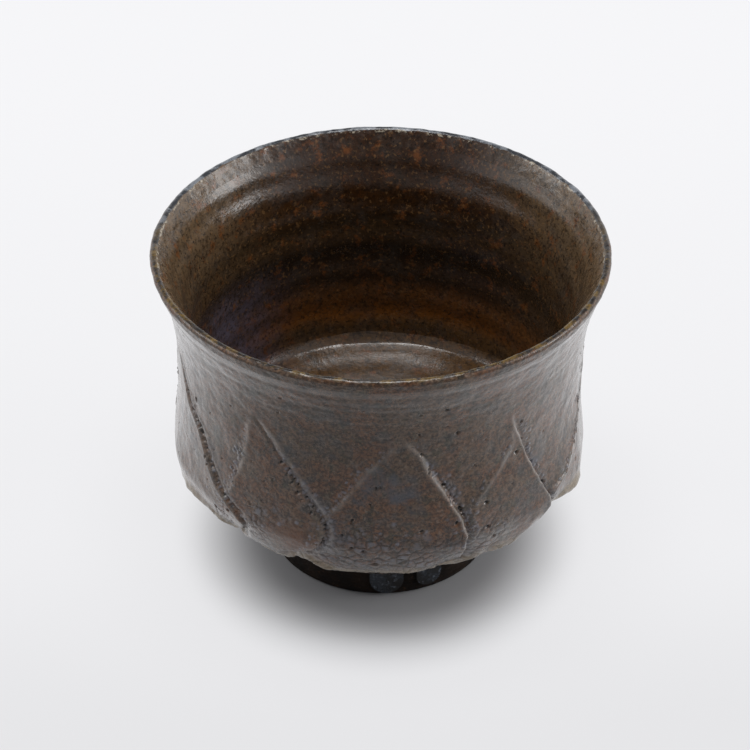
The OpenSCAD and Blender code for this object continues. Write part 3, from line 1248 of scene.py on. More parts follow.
def cell_edges(tree: bpy.types.NodeTree, place: Socket, cell: object) -> Socket:
    """Add the cells that glaze draws up into when it crawls, the same in a shader and in a geometry tree.

    Args:
        tree: The tree that gets the nodes.
        place: The place to sample, in metres.
        cell: The scale, which is 1 over the cell's width in metres.

    Returns:
        The distance to a cell's edge, in cells.
    """
    sway = add_node(tree, "ShaderNodeTexNoise", {"Vector": place, "Scale": 520.0, "Detail": 2.0})
    shift = put(tree, Step.STRETCH, sway.outputs["Color"], (0.0016, 0.0016, 0.0016))
    moved = put(tree, Step.SHIFT, place, shift)
    inputs = {"Vector": moved, "Scale": cell}
    return add_node(tree, "ShaderNodeTexVoronoi", inputs, feature="DISTANCE_TO_EDGE").outputs["Distance"]


@dataclass(frozen=True)
class AshGlaze:
    """Ash glaze over stoneware, fired in a kiln: stony grey-brown, semi-gloss and slightly soft to the eye.

    It breaks pale on ridges, a pale that is partly painted highlight, pools bluish in the cuts, and where it
    was thick it crawled into small cells.
    """

    cell_mm: float = 1.5
    mottle_mm: float = 5.0
    speck_mm: float = 0.5
    roughness: float = 0.3

    def _ground(self, kit: ShaderKit, fine: Socket) -> Socket:
        """Build the glaze's mottled ground, with its warm and cool places.

        Args:
            kit: The material that gets the nodes.
            fine: Fine noise for the cool places' edges.

        Returns:
            The colour.
        """
        tint = kit.mottled(srgb(Tone.ASH_BODY.value), (
            Mottle(self.mottle_mm, 0.42, 0.6, 1.0, Tone.ASH_WARM.value),
            Mottle(3.7, 0.5, 0.66, 0.8, Tone.ASH_COOL.value),
            Mottle(2.1, 0.52, 0.68, 0.65, "3b3c2d", 3.0, 0.6),
            Mottle(1.6, 0.5, 0.72, 0.75, Tone.ASH_DARK.value),
            Mottle(0.85, 0.52, 0.66, 0.5, "74665a", 3.0, 0.7),
        ))
        grain = kit.put(Step.RISE, kit.noise(0.46, 3.0, 0.65), 0.38, 0.62, 0.0, 0.9)
        tint = kit.put(Step.STAIN, grain, tint, srgb("8c8580"))
        tint = kit.put(Step.BLEND, kit.put(Step.TIMES, kit.mask("warm"), 0.75), tint, srgb("613a20"))
        cool = kit.put(Step.PLUS, kit.mask("cool"), kit.put(Step.MINUS, fine, 0.5))
        return kit.put(Step.BLEND, kit.put(Step.RISE, cool, 0.15, 1.0, 0.0, 0.75), tint, srgb("454953"))

    def colour(self, kit: ShaderKit) -> tuple[Socket, Socket, Socket]:
        """Build the outer glaze's colour.

        Args:
            kit: The material that gets the nodes.

        Returns:
            The colour, how much a place is a groove between cells, and how much it is a pit, the pit mask also
            holding painted shade in creases.
        """
        fine = kit.noise(1.6, 4.0, 0.65)
        tint = self._ground(kit, fine)
        cells = cell_edges(kit.tree, kit.place, 1 / (self.cell_mm * MM))
        crawl = kit.mask("crawl")
        some = kit.put(Step.RISE, kit.noise(2.9, 2.0, 0.5), 0.42, 0.6)
        swell = kit.put(Step.TIMES, some, kit.put(Step.RISE, cells, 0.06, 0.3, 0.0, 0.7))
        tint = kit.put(Step.BLEND, kit.put(Step.TIMES, crawl, swell), tint, srgb("66676f"))
        seam = kit.put(Step.RISE, cells, 0.015, 0.1, 1.0, 0.0)
        groove = kit.put(Step.TIMES, kit.put(Step.RISE, crawl, 0.1, 0.6), seam)
        broken = kit.put(Step.RISE, kit.noise(2.3, 2.0, 0.5), 0.38, 0.55, 0.15, 1.0)
        groove = kit.put(Step.TIMES, groove, broken)
        bead = kit.put(Step.TIMES, kit.mask("bead"), kit.put(Step.RISE, fine, 0.3, 0.6, 0.2, 0.7))
        # The rim and ridge shares paint pale edges, partly painted highlight where the edges catch the light.
        for share, strength, code in (
            (groove, 0.6, "1e1a1b"),
            (bead, 1.0, "6d6e78"),
            (kit.mask("rim"), 0.6, "94866f"),
            (kit.mask("ridge"), 0.65, Tone.ASH_PALE.value),
        ):
            tint = kit.put(Step.BLEND, kit.put(Step.TIMES, share, strength), tint, srgb(code))
        tint = kit.mottled(tint, (Mottle(self.speck_mm, 0.64, 0.7, 0.75, "17110e", 2.0, 0.5),))
        # The pit mask darkens the pits, and paints shade along the grooves and round the beads' feet.
        pit = kit.put(Step.RISE, kit.mask("pit"), 0.3, 0.8)
        return kit.put(Step.BLEND, pit, tint, srgb("0b0909")), groove, pit

    def material(self) -> bpy.types.Material:
        """Make the finish of the outer coat."""
        kit = ShaderKit("ash_glaze_stoneware")
        tint, groove, pit = self.colour(kit)
        rough = kit.sheen(2.4, self.roughness - 0.07, self.roughness + 0.12)
        dull = kit.put(Step.TIMES, kit.put(Step.LARGER, groove, pit), 0.25)
        kit.give({
            "Base Color": tint,
            "Roughness": kit.put(Step.PLUS, rough, dull),
            "IOR": 1.45,
            "Coat Weight": 1.0,
            "Coat IOR": 1.4,
            "Coat Roughness": 0.22,
        })
        kit.bumped((
            (kit.noise(2.6, 2.0, 0.5), 0.05),
            (kit.noise(0.8, 3.0, 0.65), 0.045),
            (kit.noise(0.36, 2.0, 0.6), 0.022),
            (kit.put(Step.MINUS, 1.0, groove), 0.05),
        ))
        return kit.material


@dataclass(frozen=True)
class IronGlaze:
    """The same glaze inside the well, where it went on thin and iron from the clay stained it brown."""

    speck_mm: float = 0.8
    roughness: float = 0.16
    # Painted shade: the darkest stops, at 0.54 and 0.605, darken the band where the wall turns upright at the
    # waist.
    bands: tuple[tuple[float, str], ...] = (
        (0.0, "49331a"), (0.15, "4a331a"), (0.2, "6a3e15"), (0.34, "4b2e17"), (0.41, "2b1d15"),
        (0.46, "33241a"), (0.54, "150c07"), (0.605, "0f0804"), (0.65, "2d1f12"), (0.72, "3a2918"),
        (0.78, "241709"), (0.88, "321d0b"), (1.0, "2d190a"),
    )

    def colour(self, kit: ShaderKit) -> Socket:
        """Build the inner glaze's colour, in soft bands by height and in fine speckles, with painted sheen
        high on the left and right walls and painted shade in the dark band at the waist.

        Args:
            kit: The material that gets the nodes.

        Returns:
            The colour.
        """
        parts = add_node(kit.tree, "ShaderNodeSeparateXYZ", {0: kit.place}).outputs
        sway = kit.put(Step.TIMES, kit.put(Step.MINUS, kit.noise(16.0, 3.0, 0.55), 0.5), 0.005)
        level = kit.put(Step.PLUS, parts["Z"], sway)
        ramp = add_node(kit.tree, "ShaderNodeValToRGB", {0: kit.put(Step.RISE, level, 0.010, 0.055)})
        steps = ramp.color_ramp.elements
        for i, (at, code) in enumerate(self.bands):
            step = steps[i] if i < 2 else steps.new(at)
            step.position = at
            step.color = srgb(code)
        # Painted sheen: the upper walls of the well to the left and right turn a paler 66543f, for the gloss
        # they catch there.
        aside = kit.put(Step.RISE, kit.put(Step.SIZE, parts["X"]), 0.014, 0.03)
        painted_sheen = kit.put(Step.TIMES, aside, kit.put(Step.RISE, level, 0.034, 0.053, 0.14, 0.8))
        tint = kit.put(Step.BLEND, painted_sheen, ramp.outputs[0], srgb("66543f"))
        tint = kit.mottled(tint, (Mottle(4.5, 0.46, 0.64, 0.4, Tone.IRON_COOL.value),))
        left = kit.put(Step.RISE, parts["X"], -0.012, -0.026)
        low = kit.put(Step.RISE, level, 0.038, 0.028)
        patchy = kit.put(Step.RISE, kit.noise(3.0), 0.35, 0.6, 0.5, 1.0)
        blue = kit.put(Step.TIMES, kit.put(Step.TIMES, left, low), patchy)
        tint = kit.put(Step.BLEND, blue, tint, srgb("524e5c"))
        return kit.mottled(tint, (
            Mottle(2.2, 0.55, 0.7, 0.7, Tone.IRON_WARM.value),
            Mottle(self.speck_mm, 0.46, 0.64, 0.7, Tone.IRON_DARK.value, rough=0.75),
            Mottle(0.6, 0.56, 0.68, 0.5, "6f5131", 3.0, 0.6),
            Mottle(0.45, 0.62, 0.68, 0.85, "0e0805", 2.0, 0.5),
        ))

    def material(self) -> bpy.types.Material:
        """Make the finish of the coat inside the well."""
        kit = ShaderKit("iron_brown_glaze")
        kit.give({
            "Base Color": self.colour(kit),
            "Roughness": kit.sheen(1.8, self.roughness - 0.06, self.roughness + 0.14),
            "IOR": 1.5,
            "Coat Weight": 0.25,
            "Coat Roughness": 0.3,
        })
        kit.bumped((
            (kit.noise(2.2, 2.0, 0.5), 0.045),
            (kit.noise(0.75, 3.0, 0.6), 0.05),
            (kit.noise(0.38, 2.0, 0.6), 0.025),
        ))
        return kit.material


@dataclass(frozen=True)
class LipGlaze:
    """Glaze that ran thin over the lip and fired near black, with olive, honey and cream flecks, painted
    reflection on its back half and painted glints among the cream flecks.
    """

    roughness: float = 0.24

    def material(self) -> bpy.types.Material:
        """Make the finish of the lip, which turns into its neighbours' colours at both ends."""
        kit = ShaderKit("lip_iron_glaze")
        sway = kit.put(Step.TIMES, kit.put(Step.MINUS, kit.noise(2.4, 3.0, 0.6), 0.5), 0.14)
        where = kit.put(Step.PLUS, kit.mask("across"), sway)
        edge = kit.mottled(srgb(Tone.LIP_DARK.value), (
            Mottle(1.3, 0.42, 0.6, 1.0, Tone.LIP_BODY.value),
            Mottle(2.1, 0.44, 0.62, 0.7, Tone.LIP_WARM.value, rough=0.7),
        ))
        # Painted reflection: on the back half of the lip the dark edge turns bluish grey with pale patches, as
        # the bright room mirrors there.
        parts = add_node(kit.tree, "ShaderNodeSeparateXYZ", {0: kit.place}).outputs
        away = kit.put(Step.RISE, parts["Y"], -0.004, 0.014)
        far_lip_reflection = kit.mottled(srgb("282a2e"), (Mottle(2.6, 0.46, 0.6, 1.0, "696c71", rough=0.6),))
        edge = kit.put(Step.BLEND, away, edge, far_lip_reflection)
        inside = IronGlaze().colour(kit)
        # Cream flecks along the lip's inner edge, partly painted glints.
        cream = kit.mottled(inside, (Mottle(0.8, 0.52, 0.62, 0.8, Tone.LIP_PALE.value, 3.0, 0.6),))
        tint = kit.put(Step.BLEND, kit.put(Step.RISE, where, 0.54, 0.57), edge, cream)
        tint = kit.put(Step.BLEND, kit.put(Step.RISE, where, 0.59, 0.64), tint, inside)
        outside, _, _ = AshGlaze().colour(kit)
        tint = kit.put(Step.BLEND, kit.put(Step.RISE, where, 0.38, 0.43, 1.0, 0.0), tint, outside)
        kit.give({
            "Base Color": tint,
            "Roughness": kit.sheen(1.2, self.roughness - 0.08, self.roughness + 0.16),
            "IOR": 1.5,
        })
        kit.bumped(((kit.noise(1.6, 2.0, 0.5), 0.10), (kit.noise(0.6, 3.0, 0.6), 0.06)))
        return kit.material


@dataclass(frozen=True)
class BareClay:
    """Stoneware clay left bare, turned on the wheel and fired: matt, gritty and near black-brown."""

    name: str
    dark: str
    light: str
    grit_mm: float = 0.6

    def material(self) -> bpy.types.Material:
        """Make the finish of bare clay."""
        kit = ShaderKit(self.name)
        tint = kit.mottled(srgb(self.dark), (
            Mottle(4.0, 0.38, 0.65, 1.0, self.light, rough=0.6),
            Mottle(self.grit_mm, 0.6, 0.7, 0.5, "463224", 3.0, 0.6),
            Mottle(0.4, 0.62, 0.7, 0.8, "0c0908", 2.0, 0.5),
        ))
        kit.give({"Base Color": tint, "Roughness": kit.sheen(1.0, 0.6, 0.85), "IOR": 1.25})
        kit.bumped(((kit.noise(1.4, 3.0, 0.6), 0.10), (kit.noise(self.grit_mm, 3.0, 0.7), 0.08)))
        return kit.material


@dataclass(frozen=True)
class PooledGlaze:
    """Glaze that ran over the foot and stayed thick: bluish grey, glassy and finely crazed."""

    cell_mm: float = 1.3
    roughness: float = 0.2

    def material(self) -> bpy.types.Material:
        """Make the finish of the runs."""
        kit = ShaderKit("pooled_glassy_glaze")
        tint = kit.mottled(srgb("2f343b"), (
            Mottle(3.2, 0.4, 0.65, 1.0, "161413", 3.0, 0.6),
            Mottle(0.9, 0.55, 0.7, 0.6, "6a717b", 3.0, 0.6),
        ))
        cells = cell_edges(kit.tree, kit.place, 1 / (self.cell_mm * MM))
        tint = kit.put(Step.BLEND, kit.put(Step.RISE, cells, 0.0, 0.07, 0.7, 0.0), tint, srgb("131211"))
        kit.give({"Base Color": tint, "Roughness": self.roughness, "IOR": 1.52})
        kit.bumped(((kit.noise(1.5, 2.0, 0.5), 0.08),))
        return kit.material


# Geometry trees


def live(sockets: Sequence[Socket]) -> Socket:
    """Give the first socket that a node's settings leave in use."""
    return [socket for socket in sockets if socket.enabled][0]


def own(tree: bpy.types.NodeTree, name: str) -> Socket:
    """Read a named number of the mesh at hand."""
    return live(add_node(tree, "GeometryNodeInputNamedAttribute", {"Name": name}, data_type="FLOAT").outputs)


def end_tree(tree: bpy.types.NodeTree, shape: Socket, height: Socket, material: Socket) -> None:
    """End a geometry tree: push its surface out along its normals and give it its finish.

    Args:
        tree: The geometry tree.
        shape: The geometry so far.
        height: How far each point is pushed, in metres.
        material: The finish.
    """
    normal = add_node(tree, "GeometryNodeInputNormal").outputs[0]
    push = put(tree, Step.SCALE, normal, height)
    for kind, inputs in (
        ("GeometryNodeSetPosition", {"Offset": push}),
        ("GeometryNodeSetShadeSmooth", {}),
        ("GeometryNodeRealizeInstances", {}),
        ("GeometryNodeSetMaterial", {"Material": material}),
    ):
        shape = add_node(tree, kind, {"Geometry": shape, **inputs}).outputs[0]
    add_node(tree, "NodeGroupOutput", {0: shape})


@dataclass(frozen=True)
class TurnedForm:
    """A form thrown or turned on the wheel: a closed half section carried round, with a spiral tool mark."""

    columns: int
    ring_pitch: float
    ring_depth: float
    lump: float
    lump_depth: float
    seed: int
    weld: float = 2e-6

    def _carried_round(self, tree: bpy.types.NodeTree, source: bpy.types.bpy_prop_collection) -> Socket:
        """Carry the section round the axis, with its own numbers.

        Args:
            tree: The geometry tree.
            source: The tree's inputs.

        Returns:
            The plain form.
        """
        section = source["Geometry"]
        size = add_node(tree, "GeometryNodeAttributeDomainSize", {0: section}, component="MESH")
        around = put(tree, Step.PLUS, source["Columns"], 1.0)
        lattice = {"Vertices X": size.outputs["Point Count"], "Vertices Y": around}
        shape = add_node(tree, "GeometryNodeMeshGrid", lattice).outputs["Mesh"]
        index = add_node(tree, "GeometryNodeInputIndex").outputs[0]
        row = put(tree, Step.FLOOR, put(tree, Step.OVER, put(tree, Step.PLUS, index, 0.5), around))
        column = put(tree, Step.MINUS, index, put(tree, Step.TIMES, row, around))
        turn = put(tree, Step.OVER, column, source["Columns"])
        angle = put(tree, Step.TIMES, turn, 2 * math.pi)

        def sampled(kind: str, value: Socket) -> Socket:
            """Read a value of the section's point that makes this row."""
            inputs = {"Geometry": section, "Index": row}
            node = add_node(tree, "GeometryNodeSampleIndex", inputs, data_type=kind)
            tree.links.new(value, live([s for s in node.inputs if s.name == "Value"]))
            return live(node.outputs)

        place = sampled("FLOAT_VECTOR", add_node(tree, "GeometryNodeInputPosition").outputs[0])
        parts = add_node(tree, "ShaderNodeSeparateXYZ", {0: place}).outputs
        x = put(tree, Step.TIMES, parts["X"], put(tree, Step.SINE, angle))
        y = put(tree, Step.TIMES, parts["X"], put(tree, Step.TIMES, put(tree, Step.COSINE, angle), -1.0))
        spot = add_node(tree, "ShaderNodeCombineXYZ", {0: x, 1: y, 2: parts["Z"]}).outputs[0]
        for name in ("rings", "lumps", "across", "length"):
            inputs = {"Geometry": shape, "Name": name, "Value": sampled("FLOAT", own(tree, name))}
            shape = add_node(
                tree, "GeometryNodeStoreNamedAttribute", inputs, data_type="FLOAT", domain="POINT",
            ).outputs[0]
        shape = add_node(tree, "GeometryNodeSetPosition", {"Geometry": shape, "Position": spot}).outputs[0]
        weld = {"Geometry": shape, "Distance": self.weld}
        shape = add_node(tree, "GeometryNodeMergeByDistance", weld).outputs[0]
        return add_node(tree, "GeometryNodeFlipFaces", {"Mesh": shape}).outputs[0]

    def _marks(self, tree: bpy.types.NodeTree, source: bpy.types.bpy_prop_collection) -> Socket:
        """Build the spiral that the tool left, and the form's unevenness.

        Args:
            tree: The geometry tree.
            source: The tree's inputs.

        Returns:
            How far each point stands out, in metres.
        """
        here = add_node(tree, "GeometryNodeInputPosition").outputs[0]
        seeded = put(tree, Step.SHIFT, here, source["Seed"])

        def lumps(scale: object, detail: float) -> Socket:
            """Give noise from about -1 to 1 round the form."""
            inputs = {"Vector": seeded, "Scale": scale, "Detail": detail}
            node = add_node(tree, "ShaderNodeTexNoise", inputs)
            return put(tree, Step.TIMES, put(tree, Step.MINUS, node.outputs[0], 0.5), 2.6)

        way = add_node(tree, "ShaderNodeSeparateXYZ", {0: here}).outputs
        angle = put(tree, Step.TURN, way["X"], put(tree, Step.TIMES, way["Y"], -1.0))
        mark = put(tree, Step.OVER, own(tree, "length"), source["Ring Pitch"])
        ring = put(tree, Step.SINE, put(tree, Step.PLUS, put(tree, Step.TIMES, mark, 2 * math.pi), angle))
        uneven = put(tree, Step.TIMES_PLUS, lumps(90.0, 1.0), 0.5, 0.6)
        depth = put(tree, Step.TIMES, own(tree, "rings"), source["Ring Depth"])
        height = put(tree, Step.TIMES, put(tree, Step.TIMES, ring, uneven), depth)
        scale = put(tree, Step.OVER, 1.0, source["Lump Size"])
        depth = put(tree, Step.TIMES, own(tree, "lumps"), source["Lump Depth"])
        return put(tree, Step.PLUS, height, put(tree, Step.TIMES, lumps(scale, 3.0), depth))

    def tree(self) -> bpy.types.NodeTree:
        """Build the tree, whose geometry input is the section's points in order, x being the radius."""
        tree = new_tree("Turned form", {
            "Columns": "Int", "Ring Pitch": "Float", "Ring Depth": "Float", "Lump Size": "Float",
            "Lump Depth": "Float", "Seed": "Int", "Material": "Material",
        })
        source = add_node(tree, "NodeGroupInput").outputs
        shape = self._carried_round(tree, source)
        end_tree(tree, shape, self._marks(tree, source), source["Material"])
        return tree

    def make(
        self, name: str, points: Array, masks: dict[str, Array], material: bpy.types.Material,
    ) -> bpy.types.Object:
        """Carry a closed half section round the axis.

        Args:
            name: The piece's name.
            points: The section's places in millimetres, running so that its solid is on the left.
            masks: For each place its "rings", "lumps", "across" and "length" values.
            material: The piece's finish.

        Returns:
            The piece, as a plain mesh.
        """
        mesh = bpy.data.meshes.new(name)
        flat = np.stack([points[:, 0], np.zeros(len(points)), points[:, 1]], axis=1) * MM
        mesh.from_pydata(flat.tolist(), [(i, i + 1) for i in range(len(points) - 1)], [])
        store_masks(mesh, masks)
        piece = put_in_scene(name, mesh)
        apply_tree(piece, self.tree(), {
            "Columns": self.columns,
            "Ring Pitch": self.ring_pitch * MM,
            "Ring Depth": self.ring_depth * MM,
            "Lump Size": self.lump * MM,
            "Lump Depth": self.lump_depth * MM,
            "Seed": self.seed,
            "Material": material,
        })
        return piece


@dataclass(frozen=True)
class CrawledRelief:
    """The raised cells and sunk seams that crawled glaze leaves, laid on a wall where its mask says so."""

    cell: float = 1.5
    seam_depth: float = 0.08
    seam_share: float = 0.14
    dome: float = 0.25

    def tree(self) -> bpy.types.NodeTree:
        """Build the tree, which moves the points of the mesh that it is given."""
        tree = new_tree("Crawled relief", {
            "Cell Scale": "Float", "Seam Depth": "Float", "Seam Share": "Float", "Material": "Material",
        })
        source = add_node(tree, "NodeGroupInput").outputs
        here = add_node(tree, "GeometryNodeInputPosition").outputs[0]
        cells = cell_edges(tree, here, source["Cell Scale"])
        raised = put(tree, Step.RISE, cells, 0.0, source["Seam Share"], -1.0, self.dome)
        height = put(tree, Step.TIMES, raised, own(tree, "relief"))
        height = put(tree, Step.TIMES, height, source["Seam Depth"])
        end_tree(tree, source["Geometry"], height, source["Material"])
        return tree

    def lay(self, piece: bpy.types.Object, material: bpy.types.Material) -> None:
        """Lay the relief on a piece."""
        apply_tree(piece, self.tree(), {
            "Cell Scale": 1 / (self.cell * MM),
            "Seam Depth": self.seam_depth * MM,
            "Seam Share": self.seam_share,
            "Material": material,
        })


# The cup's pieces


@dataclass
class CarvedBowl:
    """The bowl: its clay, and the outer coat in four stretches, one above the other."""

    form: CupForm
    carving: Carving = field(default_factory=Carving)
    columns: int = 900
    rows: int = 83
    cuts: tuple[float, ...] = (12.5, 25.5, 42.5)
    names: tuple[str, ...] = ("under", "belly", "petals", "neck")
    clay_columns: int = 360
    recess_r: float = 13.2

    def build(self) -> list[bpy.types.Object]:
        """Make the coat's four stretches and the clay under them."""
        section = self.form.outside()
        ends = [0.0, *(section.length_at_height(z) for z in (*self.cuts, self.form.band_z))]
        finish = AshGlaze().material()
        relief = CrawledRelief(AshGlaze().cell_mm)
        made = []
        for name, low, high in zip(self.names, ends[:-1], ends[1:]):
            step = (high - low) / (self.rows - 1)
            lengths = np.linspace(low - step, high + step, self.rows + 2)
            wall = WallField(self.form, section, self.carving, self.columns, lengths)
            wall.calm_borders()
            piece = add_piece(f"outer_glaze_{name}", shell_mesh(name, wall, self.form.glaze_t), finish)
            relief.lay(piece, finish)
            first, last = border_normals(wall.rings())
            count = self.rows * self.columns
            numbers = np.concatenate([np.arange(self.columns), np.arange(count - self.columns, count)])
            set_normals(piece.data, numbers, np.concatenate([first, last]))
            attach(piece, "root")
            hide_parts("outer_glaze")
            made.append(piece)
        made.append(self._clay(section, ends))
        return made

    def _clay(self, section: Section, ends: list[float]) -> bpy.types.Object:
        """Make the clay between the coats, with the recess that turning left under the bowl.

        Args:
            section: The outer wall.
            ends: Where along it the coat's stretches begin and end.

        Returns:
            The clay's piece.
        """
        coat = self.form.glaze_t
        lengths = np.linspace(ends[0], ends[-1], 120)
        wall = WallField(self.form, section, self.carving, self.clay_columns, lengths)
        outer = wall.rings(coat + 0.12)
        well = self.form.inside()
        reach = np.linspace(well.length[-1] - 0.01, 1.5, 70)
        r, z = well.at(reach)
        nr, nz = well.normal(reach)
        inner = np.stack([r - (coat + 0.08) * nr, z - (coat + 0.08) * nz], axis=1)
        inner[0, 0] = 0.0
        recess_r = np.linspace(0.0, self.recess_r, 40)
        nub = 0.6 * smooth(3.6, 3.1, recess_r)
        spiral = 0.05 * np.sin(recess_r * 2 * math.pi / 1.5)
        recess = np.stack([recess_r, self.form.foot_h - nub + spiral * smooth(3.6, 5, recess_r)], axis=1)
        join = np.array([[self.form.foot_r - 0.3, self.form.foot_h]])
        low = ways_round(np.concatenate([recess, join]), self.clay_columns)
        high = ways_round(inner[::-1], self.clay_columns)
        rings = np.concatenate([low, outer, high])
        quads = band_faces(len(rings), self.clay_columns)
        mesh = build_mesh("clay_body", rings.reshape(-1, 3), quads, np.zeros((0, 3), dtype=int))
        merge(mesh)
        piece = add_piece("clay_bowl", mesh, BareClay("fired_stoneware", "2a211b", "3a2e26").material())
        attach(piece, "root")
        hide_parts("clay_body")
        return piece


def merge(mesh: bpy.types.Mesh) -> None:
    """Weld places that coincide, and turn every face outwards."""
    work = bmesh.new()
    work.from_mesh(mesh)
    bmesh.ops.remove_doubles(work, verts=work.verts, dist=2e-6)
    bmesh.ops.recalc_face_normals(work, faces=work.faces)
    work.to_mesh(mesh)
    work.free()


def lengths_of(line: Array) -> Array:
    """Measure a line of places up to each of them."""
    return np.concatenate([[0.0], np.cumsum(np.linalg.norm(np.diff(line, axis=0), axis=1))])


def closed_section(front: Array, back: Array) -> Array:
    """Close a section's visible line with its hidden one, back to its first point."""
    return np.concatenate([front, back, front[:1]])


@dataclass
class WellCoat:
    """The coat inside the well, which keeps the thrower's spiral and a dished floor."""

    form: CupForm
    rows: int = 150
    columns: int = 520

    def build(self) -> bpy.types.Object:
        """Make the coat."""
        coat = self.form.glaze_t
        well = self.form.inside()
        start = well.length_at_height(self.form.band_z)
        lengths = np.linspace(start, well.length[-1], self.rows)
        r, z = well.at(lengths)
        front = np.stack([r, z], axis=1)
        front[-1, 0] = 0.0
        back_at = lengths[::-8]
        if back_at[-1] != start:
            back_at = np.append(back_at, start)
        nr, nz = well.normal(back_at)
        br, bz = well.at(back_at)
        back = np.stack([br - coat * nr, bz - coat * nz], axis=1)
        back[0] = (0.0, z[-1] - coat)
        line = closed_section(front, back)
        hidden = np.zeros(len(back) + 1)
        fade = smooth(start, start + 2.5, lengths) * smooth(0.0, 2.0, front[:, 0])
        wall = smooth(14.5, 18.0, z)
        masks = {
            "rings": np.concatenate([fade * (0.12 + 0.88 * wall), hidden]),
            "lumps": np.concatenate([fade, hidden]),
            "across": np.concatenate([np.ones(len(front)), hidden]),
            "length": np.concatenate([lengths * MM, hidden]),
        }
        form = TurnedForm(self.columns, ring_pitch=5.2, ring_depth=0.15, lump=9.0, lump_depth=0.14, seed=3)
        piece = form.make("inner_glaze_coat", line, masks, IronGlaze().material())
        set_rim_normals(piece.data, ((well, start),))
        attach(piece, "root")
        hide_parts("inner_glaze")
        return piece


@dataclass
class LipBand:
    """The band of glaze round the lip, from the neck over the top and down into the well."""

    form: CupForm
    columns: int = 700

    def build(self) -> bpy.types.Object:
        """Make the band."""
        outside, over, well = self.form.outside(), self.form.lip_round(), self.form.inside()
        low = outside.length_at_height(self.form.band_z)
        start = well.length_at_height(self.form.band_z)
        a = np.linspace(low, outside.length[-1], 8)
        b = np.linspace(0, over.length[-1], 34)[1:-1]
        c = np.linspace(0, start, 12)
        front = np.concatenate([np.stack(s.at(t), axis=1) for s, t in ((outside, a), (over, b), (well, c))])
        steps = lengths_of(front)
        across = steps / steps[-1]
        way = np.gradient(front, axis=0)
        way /= np.linalg.norm(way, axis=1)[:, None]
        back = (front - self.form.glaze_t * np.stack([way[:, 1], -way[:, 0]], axis=1))[::-3]
        line = closed_section(front, back)
        hidden = np.zeros(len(back) + 1)
        fade = smooth(0.0, 0.12, across) * smooth(1.0, 0.85, across)
        masks = {
            "lumps": np.concatenate([fade, hidden]),
            "across": np.concatenate([across, hidden]),
            "length": np.concatenate([steps * MM, hidden]),
        }
        form = TurnedForm(self.columns, ring_pitch=2.0, ring_depth=0.0, lump=3.0, lump_depth=0.15, seed=8)
        piece = form.make("lip_glaze_band", line, masks, LipGlaze().material())
        set_rim_normals(piece.data, ((outside, low), (well, start)))
        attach(piece, "root")
        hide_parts("lip_glaze")
        return piece


@dataclass
class Foot:
    """The turned foot ring, bare and worn at its edges."""

    form: CupForm
    width: float = 5.0
    taper: float = 0.5
    wear: float = 0.5

    def ring(self) -> bpy.types.Object:
        """Make the foot ring with its turning marks."""
        outer, inner, top = self.form.foot_r, self.form.foot_r - self.width, self.form.foot_h
        corners = np.array([
            (inner, top), (inner + self.taper, self.wear), (inner + self.taper + self.wear, 0.0),
            (outer - self.taper - self.wear, 0.0), (outer - self.taper, self.wear), (outer, top), (inner, top),
        ])
        steps = lengths_of(corners)
        lengths = np.sort(np.concatenate([np.linspace(0, steps[-1], 96), steps[1:-1]]))
        line = np.stack([np.interp(lengths, steps, values) for values in corners.T], axis=1)
        line[-1] = line[0]
        side = smooth(0.35, 1.0, line[:, 1]) * smooth(top, top - 0.6, line[:, 1])
        side[-1] = side[0]
        masks = {"rings": side, "lumps": side, "length": lengths * MM}
        form = TurnedForm(360, ring_pitch=1.15, ring_depth=0.06, lump=2.5, lump_depth=0.09, seed=5)
        clay = BareClay("bare_iron_clay", "0f0a07", "20160f").material()
        piece = form.make("foot_turned_ring", line, masks, clay)
        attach(piece, "root")
        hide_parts("foot_ring")
        return piece


# The studio


